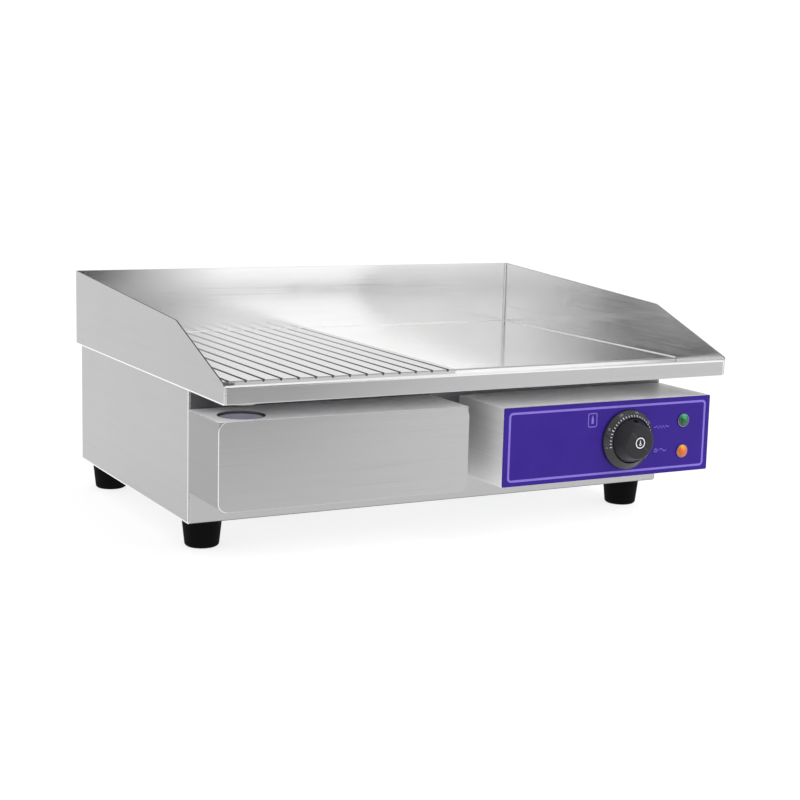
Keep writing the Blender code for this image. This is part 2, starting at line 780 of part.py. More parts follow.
def build_control_panel():
    """Printed front panel over the control box."""
    corners = rectangle(CONTROL_LEFT, CONTROL_BOTTOM, CONTROL_RIGHT, CONTROL_TOP)
    loops = [rounded(corners, [0.0015] * 4, steps=3)]
    for x, z, radius in panel_holes():
        loops.append(circle(x, z, radius, 16))
    middle = PANEL_FACE + PANEL_THICKNESS / 2
    plate("control_panel", loops, PANEL_THICKNESS, (0.0, middle, 0.0), FACING_FRONT, PANEL_PURPLE)


def build_thermostat():
    """Capillary thermostat behind the panel, with a threaded neck around the shaft."""
    back_of_wall = CONTROL_FACE + SHEET + GAP
    half = 0.021
    body = box(
        "thermostat_body",
        (KNOB_X - half, back_of_wall, KNOB_Z - 0.018),
        (KNOB_X + half, back_of_wall + 0.034, KNOB_Z + 0.018),
        BLACK_PLASTIC)
    neck_mesh = cylinder_mesh("thermostat_neck", PANEL_HOLE_RADIUS - 0.0005, 0.008, 16)
    neck = make_cutter("thermostat_neck", neck_mesh, (KNOB_X, back_of_wall + 0.004, KNOB_Z), FACING_FRONT)
    combine(body, neck, "UNION")
    drill(body, (KNOB_X, back_of_wall + 0.012, KNOB_Z), FACING_FRONT, SHAFT_RADIUS + GAP, 0.020, 16)
    for side in (-1, 1):
        start = (KNOB_X + side * THERMOSTAT_SCREW_REACH, back_of_wall + 0.006, KNOB_Z)
        drill(body, start, FACING_FRONT, 0.0022, 0.010, FASTENER_STEPS)


def build_dial_ring():
    """Fixed dial: a sloping ring for the scale, around a recess for the knob."""
    recess = KNOB_GRIP_RADIUS + 0.0007
    profile = [
        (recess + 0.0004, DIAL_CREST),
        (DIAL_RADIUS - 0.0006, 0.0032),
        (DIAL_RADIUS, 0.0022),
        (DIAL_RADIUS, GAP),
        (0.0060, GAP),
        (0.0060, DIAL_SEAT),
        (recess, DIAL_SEAT),
        (recess, DIAL_CREST - 0.0004),
    ]
    place = (KNOB_X, PANEL_FACE, KNOB_Z)
    ring = turned("dial_ring", profile, place, FACING_FRONT, KNOB_PLASTIC, KNOB_STEPS, closed=True)
    for side in (-1, 1):
        start = (KNOB_X + side * THERMOSTAT_SCREW_REACH, PANEL_FACE + 0.005, KNOB_Z)
        drill(ring, start, FACING_FRONT, 0.0022, 0.010, FASTENER_STEPS)


def build_thermostat_screws():
    """Pan-head screws through the dial and the panel, hidden under the knob."""
    profile = [
        (0.0, 0.0022),
        (0.0022, 0.0020),
        (0.0034, 0.0012),
        (0.0035, GAP),
        (0.0018, GAP),
        (0.0018, -0.007),
        (0.0, -0.007),
    ]
    for name, side in (("thermostat_screw_left", -1), ("thermostat_screw_right", 1)):
        place = (KNOB_X + side * THERMOSTAT_SCREW_REACH, PANEL_FACE - DIAL_SEAT, KNOB_Z)
        turned(name, profile, place, FACING_FRONT, ZINC, FASTENER_STEPS)


def build_knob():
    """Hollow tapered knob in the dial's recess, its cap, and the shaft it turns."""
    place = Vector((KNOB_X, PANEL_FACE, KNOB_Z))
    holder = make_empty("thermostat_axis", place)
    back = DIAL_SEAT + 0.0005
    front = KNOB_HEIGHT
    hub_end = 0.0036
    shoulder = arc(0.0145, front - 0.0035, 0.0035, 90.0, 15.0, 3)
    profile = [
        (0.0, front - 0.0012),
        (KNOB_CAP_RADIUS + GAP, front - 0.0012),
        (KNOB_CAP_RADIUS + GAP, front),
    ]
    profile += shoulder
    profile += [
        (KNOB_GRIP_RADIUS - 0.0009, DIAL_CREST + 0.0014),
        (KNOB_GRIP_RADIUS, DIAL_CREST - 0.0006),
        (KNOB_GRIP_RADIUS, back),
        (KNOB_GRIP_RADIUS - 0.0025, back),
        (0.0160, front - 0.0060),
        (0.0060, front - 0.0060),
        (0.0060, hub_end),
        (SHAFT_RADIUS + GAP, hub_end),
        (SHAFT_RADIUS + GAP, front - 0.0040),
        (0.0, front - 0.0040),
    ]
    knob = turned("thermostat_knob", profile, place, FACING_FRONT, KNOB_PLASTIC, KNOB_STEPS)
    cap_profile = [
        (0.0, front),
        (KNOB_CAP_RADIUS - 0.0004, front),
        (KNOB_CAP_RADIUS, front - 0.0003),
        (KNOB_CAP_RADIUS, front - 0.0012 + GAP),
        (0.0, front - 0.0012 + GAP),
    ]
    cap = turned("knob_cap", cap_profile, place, FACING_FRONT, CAP_PLASTIC)
    shaft_profile = [
        (0.0, front - 0.0040 - GAP),
        (SHAFT_RADIUS, front - 0.0040 - GAP),
        (SHAFT_RADIUS, -0.0125),
        (0.0, -0.0125),
    ]
    shaft = turned("thermostat_shaft", shaft_profile, place, FACING_FRONT, ZINC, FASTENER_STEPS)
    for obj in (knob, cap, shaft):
        attach(obj, holder)


def build_lamps():
    """Indicator lamps: a housing through the panel and a domed lens in its bezel."""
    bezel_front = 0.0020
    seat = 0.0008
    body_profile = [
        (0.0, seat),
        (0.0054, seat),
        (0.0054, bezel_front),
        (LAMP_BEZEL_RADIUS - 0.0004, bezel_front),
        (LAMP_BEZEL_RADIUS, bezel_front - 0.0005),
        (LAMP_BEZEL_RADIUS, GAP),
        (PANEL_HOLE_RADIUS - 0.0005, GAP),
        (PANEL_HOLE_RADIUS - 0.0005, -0.026),
        (0.0, -0.026),
    ]
    lens_profile = [
        (0.0, 0.0040),
        (0.0020, 0.0038),
        (0.0036, 0.0033),
        (0.0047, 0.0025),
        (0.0051, 0.0016),
        (0.0051, seat + GAP),
        (0.0, seat + GAP),
    ]
    for name, z, lens_finish in LAMPS:
        place = (LAMP_X, PANEL_FACE, z)
        turned(name + "_body", body_profile, place, FACING_FRONT, BLACK_PLASTIC, 20)
        turned(name + "_lens", lens_profile, place, FACING_FRONT, lens_finish, 20)


# ---------------------------------------------------------------- temperature sensing and wiring

BULB_X = LEFT + 0.3705
BULB_FRONT = FRONT + 0.215
BULB_REAR = FRONT + 0.315
BULB_RADIUS = 0.003
BULB_Z = PLATE_BOTTOM - 2 * GAP - BULB_RADIUS


def build_bulb():
    """Thermostat bulb against the plate, in a channel that holds it there."""
    length = BULB_REAR - BULB_FRONT
    profile = [(0.0, 0.0), (BULB_RADIUS, 0.0), (BULB_RADIUS, -length), (0.0, -length)]
    turned("thermostat_bulb", profile, (BULB_X, BULB_REAR, BULB_Z), FACING_REAR, COPPER, FASTENER_STEPS)
    top = PLATE_BOTTOM - GAP
    low = BULB_Z - BULB_RADIUS - GAP - 0.001
    inner = BULB_RADIUS + GAP
    outer = inner + 0.001
    outline = [
        (-outer, low),
        (outer, low),
        (outer, top),
        (inner, top),
        (inner, low + 0.001),
        (-inner, low + 0.001),
        (-inner, top),
        (-outer, top),
    ]
    centre = (BULB_X, (BULB_FRONT + BULB_REAR) / 2, 0.0)
    plate("bulb_bracket", [outline], 0.8 * length, centre, FACING_FRONT, ZINC)


def build_capillary():
    """Thin tube from the bulb, over the clamp bar and down to the thermostat."""
    thermostat_back = CONTROL_FACE + SHEET + GAP + 0.034
    stations = [
        (BULB_X, BULB_FRONT - GAP, 0.1530),
        (BULB_X, FRONT + 0.180, 0.1515),
        (BULB_X, FRONT + 0.120, 0.1515),
        (BULB_X + 0.002, FRONT + 0.1065, 0.1420),
        (BULB_X + 0.010, FRONT + 0.1065, 0.1120),
        (BULB_X + 0.030, FRONT + 0.085, 0.0960),
        (KNOB_X - 0.010, thermostat_back + 0.014, 0.0980),
        (KNOB_X - 0.008, thermostat_back + GAP, 0.1000),
    ]
    tube("thermostat_capillary", smooth_route(stations, steps=3), 0.0009, COPPER, sides_level=1)


def build_supply():
    """Cable gland with its locknut at the rear, and the terminal block inside."""
    wall = HOUSING_REAR
    nose = GLAND_END - wall
    bore = 0.0050
    gland_profile = [
        (0.0090, nose),
        (0.0105, nose - 0.0030),
        (0.0115, nose - 0.0070),
        (0.0120, 0.0060),
        (0.0120, GAP),
        (0.0080, GAP),
        (0.0080, -0.0090),
        (bore, -0.0090),
        (bore, nose),
    ]
    place = (GLAND_X, wall, GLAND_Z)
    turned("cable_gland", gland_profile, place, FACING_REAR, BLACK_PLASTIC, closed=True)
    nut_name = "gland_locknut"
    nut_place = (GLAND_X, INNER_REAR - GAP - 0.005, GLAND_Z)
    nut_mesh = cylinder_mesh(nut_name, 0.0125, 0.005, 6)
    nut = add_object(nut_name, nut_mesh, BLACK_PLASTIC, nut_place, FACING_REAR)
    drill(nut, (GLAND_X, INNER_REAR - 0.010, GLAND_Z), FACING_REAR, GLAND_HOLE_RADIUS, 0.014)
    box(
        "terminal_block",
        (GLAND_X - 0.032, REAR - 0.075, BASE_TOP + GAP),
        (GLAND_X + 0.020, REAR - 0.050, BASE_TOP + 0.022),
        WHITE_CERAMIC, bevel=0.001)


def build_looms():
    """Wires from the terminal block to the controls, and from there to the elements."""
    supply = [
        (GLAND_X - 0.036, REAR - 0.060, 0.0420),
        (GLAND_X - 0.060, REAR - 0.080, 0.0400),
        (GLAND_X - 0.062, 0.000, 0.0380),
        (GLAND_X - 0.062, -0.080, 0.0450),
        (KNOB_X + 0.012, -0.108, 0.0860),
        (KNOB_X + 0.012, -0.128, 0.0880),
        (KNOB_X + 0.012, CONTROL_FACE + 0.0400, 0.0880),
    ]
    tube("supply_loom", smooth_route(supply, steps=3), 0.0030, SILICONE_WIRE)
    element = [
        (LEFT + 0.425, FRONT + 0.1065, 0.1505),
        (LEFT + 0.427, FRONT + 0.1065, 0.1400),
        (LEFT + 0.432, FRONT + 0.1065, 0.1200),
        (LEFT + 0.438, FRONT + 0.1000, 0.1100),
        (LEFT + 0.440, FRONT + 0.0800, 0.1060),
        (LEFT + 0.440, CONTROL_FACE + 0.0400, 0.1040),
    ]
    tube("element_loom", smooth_route(element, steps=3), 0.0025, SILICONE_WIRE)


# ---------------------------------------------------------------- the whole griddle

build_griddle_plate()
build_side_guard("splash_guard_left", LEFT, 1)
build_side_guard("splash_guard_right", RIGHT, -1)
build_rear_guard()
build_gutter()
build_drain_spout()

build_housing_side("housing_side_left", HOUSING_LEFT, 1)
build_housing_side("housing_side_right", HOUSING_RIGHT, -1)
build_housing_front()
build_housing_rear()
build_rear_screws()
build_base_plate()
build_feet()
build_plate_support("plate_support_left", INNER_LEFT, 1)
build_plate_support("plate_support_right", INNER_RIGHT, -1)

build_heating_elements()
build_element_clamps()
build_clamp_studs()
build_heat_barriers()

build_drawer()
build_drawer_runner("drawer_runner_left", GREASE_TRAY_LEFT, -1)
build_drawer_runner("drawer_runner_right", GREASE_TRAY_RIGHT, 1)

build_control_box()
build_control_panel()
build_thermostat()
build_dial_ring()
build_thermostat_screws()
build_knob()
build_lamps()

build_bulb()
build_capillary()
build_supply()
build_looms()
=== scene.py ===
"""Looks of the electric griddle: sheet metal, printed panel, dial, lamps, feet, lights and camera."""
import json
import math

import bmesh
import bpy
from mathutils import Matrix, Quaternion, Vector


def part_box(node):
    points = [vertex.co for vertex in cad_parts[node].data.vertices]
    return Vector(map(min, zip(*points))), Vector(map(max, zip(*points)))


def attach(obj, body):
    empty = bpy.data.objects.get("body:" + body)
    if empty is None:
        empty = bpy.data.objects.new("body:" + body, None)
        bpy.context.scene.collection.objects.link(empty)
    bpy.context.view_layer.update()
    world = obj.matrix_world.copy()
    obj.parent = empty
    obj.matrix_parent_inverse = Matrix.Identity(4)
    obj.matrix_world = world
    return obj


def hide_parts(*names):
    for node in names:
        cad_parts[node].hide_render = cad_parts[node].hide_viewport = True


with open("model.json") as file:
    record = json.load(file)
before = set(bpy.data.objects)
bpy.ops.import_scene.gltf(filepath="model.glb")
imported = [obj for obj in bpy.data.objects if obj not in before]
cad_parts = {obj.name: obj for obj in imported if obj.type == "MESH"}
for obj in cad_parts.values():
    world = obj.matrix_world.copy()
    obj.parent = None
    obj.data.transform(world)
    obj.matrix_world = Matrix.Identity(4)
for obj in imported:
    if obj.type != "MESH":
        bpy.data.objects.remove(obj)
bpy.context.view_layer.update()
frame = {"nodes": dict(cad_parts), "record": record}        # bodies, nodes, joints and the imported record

MM = 0.001

CAMERA_PLACE = Vector((-0.79282, -1.50503, 0.39461))
CAMERA_AZIMUTH = math.radians(28.27)     # the view direction, turned from +Y towards +X
CAMERA_DIP = math.radians(9.395)
CAMERA_ROLL = math.radians(1.4515)
CAMERA_LENS = 72.674

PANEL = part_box("control_panel")
PANEL_FACE = PANEL[0].y
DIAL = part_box("dial_ring")
DIAL_CENTRE = Vector(((DIAL[0].x + DIAL[1].x) / 2, PANEL_FACE, (DIAL[0].z + DIAL[1].z) / 2))
DIAL_RADIUS = (DIAL[1].x - DIAL[0].x) / 2
DIAL_CREST = PANEL_FACE - DIAL[0].y      # height of the dial's inner edge above the panel
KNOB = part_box("thermostat_knob")
KNOB_RADIUS = (KNOB[1].x - KNOB[0].x) / 2
KNOB_HEIGHT = PANEL_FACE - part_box("knob_cap")[0].y
FRONTWARDS = Matrix.Rotation(math.pi / 2, 4, "X")     # local Z becomes -Y, local Y becomes +Z


# ---------------------------------------------------------------- materials

class Finish:
    """A material being made: its Principled shader, and the nodes that feed it."""

    def __init__(self, name, **constants):
        self.material = bpy.data.materials.new(name)
        self.material.use_nodes = True
        self.tree = self.material.node_tree
        self.shader = self.tree.nodes["Principled BSDF"]
        for socket, value in constants.items():
            self.shader.inputs[socket.replace("_", " ")].default_value = value

    def node(self, kind, inputs=None, **settings):
        """Adds a node. An input is a value or another node's output socket."""
        made = self.tree.nodes.new("ShaderNode" + kind)
        for key, value in settings.items():
            setattr(made, key, value)
        for key, value in (inputs or {}).items():
            if isinstance(value, bpy.types.NodeSocket):
                self.tree.links.new(value, made.inputs[key])
            else:
                made.inputs[key].default_value = value
        return made

    def feed(self, socket, value):
        self.tree.links.new(value, self.shader.inputs[socket])

    def position(self, scale=(1.0, 1.0, 1.0), shift=0.0):
        """Place on the object in metres, times a scale for each axis."""
        coordinates = self.node("TexCoord")
        return self.node("Mapping", {
            "Vector": coordinates.outputs["Object"],
            "Scale": scale,
            "Location": (shift, 0.7 * shift, 0.4 * shift),
        }).outputs["Vector"]

    def noise(self, scale, detail=3.0, shift=0.0):
        """Noise with that many features to the metre along each axis."""
        return self.node("TexNoise", {
            "Vector": self.position(scale, shift),
            "Scale": 1.0,
            "Detail": detail,
        }).outputs["Fac"]

    def sum(self, a, b, operation="ADD"):
        return self.node("Math", {0: a, 1: b}, operation=operation).outputs[0]

    def remap(self, value, low, high, to_low, to_high):
        return self.node("MapRange", {
            "Value": value, "From Min": low, "From Max": high, "To Min": to_low, "To Max": to_high,
        }).outputs["Result"]

    def mix(self, factor, a, b):
        """Mix of two colours or of two numbers."""
        colours = isinstance(a, tuple) or isinstance(a, bpy.types.NodeSocket) and a.type == "RGBA"
        a, b = ((*part, 1.0) if isinstance(part, tuple) else part for part in (a, b))
        kind, first, second, result = ("RGBA", 6, 7, 2) if colours else ("FLOAT", 2, 3, 0)
        made = self.node("Mix", {0: factor, first: a, second: b}, data_type=kind)
        return made.outputs[result]

    def tint(self, colour, factor):
        """A colour made lighter or darker by a number around 1."""
        made = self.node("Mix", {0: 1.0, 7: factor}, data_type="RGBA", blend_type="MULTIPLY")
        if isinstance(colour, tuple):
            made.inputs[6].default_value = (*colour, 1.0)
        else:
            self.tree.links.new(colour, made.inputs[6])
        return made.outputs[2]

    def normal_part(self, axis):
        """One part, X, Y or Z, of the surface's own normal."""
        coordinates = self.node("TexCoord")
        return self.node("SeparateXYZ", {0: coordinates.outputs["Normal"]}).outputs[axis]

    def place_part(self, axis):
        """One part, X, Y or Z, of the place on the object."""
        return self.node("SeparateXYZ", {0: self.position()}).outputs[axis]

    def facing_up(self):
        """1 where the surface lies flat, 0 where it stands."""
        slope = self.sum(self.normal_part("Z"), 0.0, "ABSOLUTE")
        return self.remap(slope, 0.65, 0.75, 0.0, 1.0)

    def worn_edges(self):
        """1 along outer edges, which handling has polished."""
        sharpness = self.node("NewGeometry").outputs["Pointiness"]
        return self.remap(sharpness, 0.53, 0.60, 0.0, 1.0)

    def grain_across(self, flat):
        """Stretches highlights across the grain, which runs level and along X."""
        upright = self.node("CombineXYZ", {"Z": 1.0}).outputs[0]
        level = self.node("CombineXYZ", {"Y": 1.0}).outputs[0]
        made = self.node("Mix", {0: flat, 4: upright, 5: level}, data_type="VECTOR")
        self.feed("Tangent", made.outputs[1])

    def relief(self, height, depth, strength=1.0):
        """Bump of a given depth in metres."""
        bump = self.node("Bump", {"Height": height, "Distance": depth, "Strength": strength})
        self.feed("Normal", bump.outputs["Normal"])


def brushed_steel(name, colour, roughness, contrast=1.0, anisotropy=0.5, haze=0.0, top=None, top_haze=0.0):
    """Stainless sheet, brushed lengthwise: long fine grain, faint cloudiness and a few scratches.

    Haze is the share of the light that the grain scatters all round. Faces that lie flat may
    have their own brightness, which is painted light and shade, and their own haze.
    """
    made = Finish(name, Metallic=1.0 - haze, Anisotropic=anisotropy, Specular_IOR_Level=0.2)
    flat = made.facing_up()
    if top:
        colour = made.mix(flat, colour, top)
        made.feed("Metallic", made.remap(flat, 0.0, 1.0, 1.0 - haze, 1.0 - top_haze))
    grain = made.mix(flat, made.noise((9, 9, 1100), 4.0), made.noise((9, 1100, 9), 4.0))
    streaks = made.mix(flat, made.noise((3, 3, 160), 3.0, 5.0), made.noise((3, 160, 3), 3.0, 5.0))
    cloud = made.noise((14, 14, 14), 4.0, 2.0)
    scratch = made.mix(flat, made.noise((5, 5, 420), 1.0, 9.0), made.noise((5, 420, 5), 1.0, 9.0))
    scratch = made.remap(scratch, 0.70, 0.76, 0.0, 1.0)
    shade = made.sum(
        made.remap(grain, 0.25, 0.75, -0.05 * contrast, 0.05 * contrast),
        made.remap(streaks, 0.3, 0.7, -0.022 * contrast, 0.022 * contrast))
    shade = made.sum(shade, made.remap(cloud, 0.3, 0.7, 0.985, 1.015))
    shade = made.sum(shade, made.sum(scratch, -0.06, "MULTIPLY"))
    made.feed("Base Color", made.tint(colour, shade))
    made.feed("Roughness", made.sum(
        made.remap(grain, 0.2, 0.8, roughness - 0.05, roughness + 0.05),
        made.remap(cloud, 0.3, 0.7, -0.025, 0.025)))
    made.relief(made.sum(grain, made.sum(scratch, -0.6, "MULTIPLY")), 0.00002, 0.5 * contrast)
    made.grain_across(flat)
    return made.material


# Painted shade: the plate's ridged half is made duller by this factor.
RIDGE_PAINTED_SHADE = 0.64            # brightness of the plate's ridged half, against its smooth half
RIDGES_END = (0.001, 0.004)  # metres along X, over which the one turns to the other


def ground_plate(name):
    """Cooking surface: ground lengthwise, with fine cross scratches and a faint warm heat tint.

    The ridged half, left of the middle, is painted duller for the photo's shading.
    """
    made = Finish(name, Metallic=1.0, Anisotropic=0.5)
    grain = made.noise((10, 900, 10), 4.0)
    across = made.noise((700, 12, 12), 2.0, 3.0)
    scratch = made.remap(across, 0.66, 0.74, 0.0, 1.0)
    cloud = made.noise((9, 9, 9), 4.0, 6.0)
    shade = made.sum(made.remap(grain, 0.25, 0.75, 0.97, 1.03), made.sum(scratch, -0.03, "MULTIPLY"))
    base = made.mix(made.remap(cloud, 0.35, 0.75, 0.0, 1.0), (0.945, 0.945, 0.943), (0.940, 0.934, 0.926))
    ridge_shade = made.remap(made.place_part("X"), *RIDGES_END, RIDGE_PAINTED_SHADE, 1.0)
    shade = made.sum(shade, ridge_shade, "MULTIPLY")
    made.feed("Base Color", made.tint(base, shade))
    rough = made.sum(
        made.remap(grain, 0.2, 0.8, 0.10, 0.13),
        made.remap(cloud, 0.3, 0.7, -0.01, 0.02))
    made.feed("Roughness", rough)
    made.relief(made.sum(grain, made.sum(scratch, -0.5, "MULTIPLY")), 0.00001, 0.5)
    made.grain_across(made.facing_up())
    return made.material


def graded_steel(name, colours, roughness, axis, span, metallic=1.0):
    """Brushed sheet painted from one colour to another along an axis, over a span in metres.

    It stands for shading in the photo that the lights don't give.
    """
    made = Finish(name, Metallic=metallic, Anisotropic=0.4, Specular_IOR_Level=0.2)
    flat = made.facing_up()
    grain = made.mix(flat, made.noise((9, 9, 1100), 4.0), made.noise((9, 1100, 9), 4.0))
    cloud = made.noise((40, 40, 40), 4.0, 2.0)
    along = made.sum(made.place_part(axis), made.remap(cloud, 0.3, 0.7, -0.002, 0.002))
    base = made.mix(made.remap(along, *span, 0.0, 1.0), *colours)
    made.feed("Base Color", made.tint(base, made.remap(grain, 0.25, 0.75, 0.97, 1.03)))
    made.feed("Roughness", made.remap(grain, 0.2, 0.8, roughness - 0.04, roughness + 0.04))
    made.relief(grain, 0.00002, 0.4)
    return made.material


def groove_painted_shade(name):
    """Painted shade in the grooves: dark at the front, paler towards the rear, in patches."""
    made = Finish(name, Metallic=0.6, Specular_IOR_Level=0.3)
    patches = made.noise((160, 60, 160), 5.0)
    along = made.sum(made.place_part("Y"), made.remap(patches, 0.3, 0.7, -0.03, 0.03))
    thin = made.remap(along, -0.12, 0.19, 0.0, 1.0)
    made.feed("Base Color", made.mix(thin, (0.060, 0.060, 0.062), (0.52, 0.52, 0.52)))
    made.feed("Roughness", made.remap(patches, 0.3, 0.7, 0.32, 0.50))
    made.relief(patches, 0.0001, 0.5)
    return made.material


def plated_steel(name, colour, roughness):
    """Bright zinc: mottled crystals, slightly dulled."""
    made = Finish(name, Metallic=1.0)
    crystals = made.node("TexVoronoi", {"Vector": made.position((420, 420, 420)), "Scale": 1.0})
    cloud = made.noise((60, 60, 60), 4.0)
    shade = made.sum(
        made.remap(crystals.outputs["Distance"], 0.0, 1.0, 0.94, 1.04),
        made.remap(cloud, 0.3, 0.7, -0.06, 0.06))
    made.feed("Base Color", made.tint(colour, shade))
    made.feed("Roughness", made.remap(cloud, 0.3, 0.7, roughness - 0.08, roughness + 0.08))
    made.relief(cloud, 0.00004, 0.5)
    return made.material


def moulded(name, colour, roughness, grain=900.0, wear=(0.12, 0.12, 0.13), **constants):
    """Moulded plastic or rubber: fine spark-eroded grain, uneven sheen, paler rubbed edges."""
    made = Finish(name, **constants)
    fine = made.noise((grain, grain, grain), 3.0)
    cloud = made.noise((45, 45, 45), 3.0, 4.0)
    shade = made.sum(
        made.remap(fine, 0.3, 0.7, 0.93, 1.07),
        made.remap(cloud, 0.3, 0.7, -0.06, 0.06))
    edges = made.sum(made.worn_edges(), 0.6, "MULTIPLY")
    made.feed("Base Color", made.mix(edges, made.tint(colour, shade), wear))
    made.feed("Roughness", made.sum(
        made.remap(fine, 0.3, 0.7, roughness - 0.05, roughness + 0.05),
        made.remap(cloud, 0.3, 0.7, -0.05, 0.05)))
    made.relief(fine, 0.00003, 0.5)
    return made.material


def printed_panel(name):
    """Purple print on the front of the panel's steel; its edges stay bare."""
    made = Finish(name, Specular_IOR_Level=0.15)
    front = made.remap(made.normal_part("Y"), -0.9, -0.97, 0.0, 1.0)
    cloud = made.noise((30, 30, 30), 4.0)
    grain = made.noise((1300, 1300, 1300), 2.0, 3.0)
    ink = made.mix(made.remap(cloud, 0.35, 0.65, 0.0, 1.0), (0.028, 0.009, 0.205), (0.032, 0.011, 0.222))
    ink = made.tint(ink, made.remap(grain, 0.3, 0.7, 0.95, 1.05))
    made.feed("Base Color", made.mix(front, (0.80, 0.80, 0.80), ink))
    made.feed("Metallic", made.remap(front, 0.0, 1.0, 1.0, 0.0))
    made.feed("Roughness", made.remap(grain, 0.3, 0.7, 0.30, 0.40))
    made.relief(grain, 0.00001, 0.4)
    return made.material


def ink(name, colour):
    """Raised screen-print ink."""
    made = Finish(name, Specular_IOR_Level=0.4)
    speckle = made.noise((1800, 1800, 1800), 3.0)
    worn = made.noise((260, 260, 260), 3.0, 5.0)
    shade = made.sum(
        made.remap(speckle, 0.3, 0.7, 0.93, 1.07),
        made.remap(worn, 0.35, 0.65, -0.05, 0.05))
    made.feed("Base Color", made.tint(colour, shade))
    made.feed("Roughness", made.remap(speckle, 0.3, 0.7, 0.38, 0.52))
    made.relief(speckle, 0.00001, 0.4)
    return made.material


def lamp_lens(name, deep, bright, centre_z):
    """Clear coloured lens: a brighter middle and a moulded prism pattern."""
    made = Finish(
        name, Coat_Weight=0.5, Coat_Roughness=0.04, Specular_IOR_Level=0.4, Emission_Strength=0.14)
    centre_x = (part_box("heating_lamp_lens")[0].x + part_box("heating_lamp_lens")[1].x) / 2
    across = made.sum(made.place_part("X"), centre_x, "SUBTRACT")
    above = made.sum(made.place_part("Z"), centre_z, "SUBTRACT")
    distance = made.sum(
        made.sum(across, across, "MULTIPLY"), made.sum(above, above, "MULTIPLY"))
    distance = made.sum(distance, 0.5, "POWER")
    prisms = made.node("TexVoronoi", {"Vector": made.position((900, 900, 900)), "Scale": 1.0})
    cells = prisms.outputs["Distance"]
    glow = made.remap(distance, 0.0, 0.0050, 1.0, 0.0)
    glow = made.sum(glow, made.remap(cells, 0.0, 0.8, -0.18, 0.18))
    colour = made.mix(glow, deep, bright)
    made.feed("Base Color", colour)
    made.feed("Emission Color", colour)
    made.feed("Roughness", made.remap(cells, 0.0, 0.8, 0.08, 0.22))
    made.relief(cells, 0.00030, 0.8)
    return made.material


def fibre(name):
    """Ceramic blanket: loose matted fibres."""
    made = Finish(name, Sheen_Weight=0.4, Specular_IOR_Level=0.1)
    mat = made.noise((260, 260, 260), 8.0)
    tufts = made.noise((35, 35, 35), 4.0, 3.0)
    shade = made.sum(made.remap(mat, 0.3, 0.7, 0.85, 1.05), made.remap(tufts, 0.3, 0.7, -0.05, 0.05))
    made.feed("Base Color", made.tint((0.82, 0.80, 0.74), shade))
    made.feed("Roughness", made.remap(mat, 0.3, 0.7, 0.88, 1.0))
    made.relief(made.sum(mat, tufts), 0.0008, 1.0)
    return made.material


def drawn_metal(name, colour, tinted, roughness, rings):
    """Tube drawn or heated: fine rings along it and patches of heat colour."""
    made = Finish(name, Metallic=1.0)
    fine = made.noise(rings, 3.0)
    patches = made.noise((28, 28, 28), 4.0, 5.0)
    base = made.mix(made.remap(patches, 0.35, 0.65, 0.0, 1.0), colour, tinted)
    made.feed("Base Color", made.tint(base, made.remap(fine, 0.3, 0.7, 0.9, 1.1)))
    made.feed("Roughness", made.remap(patches, 0.3, 0.7, roughness - 0.08, roughness + 0.10))
    made.relief(fine, 0.00005, 0.5)
    return made.material


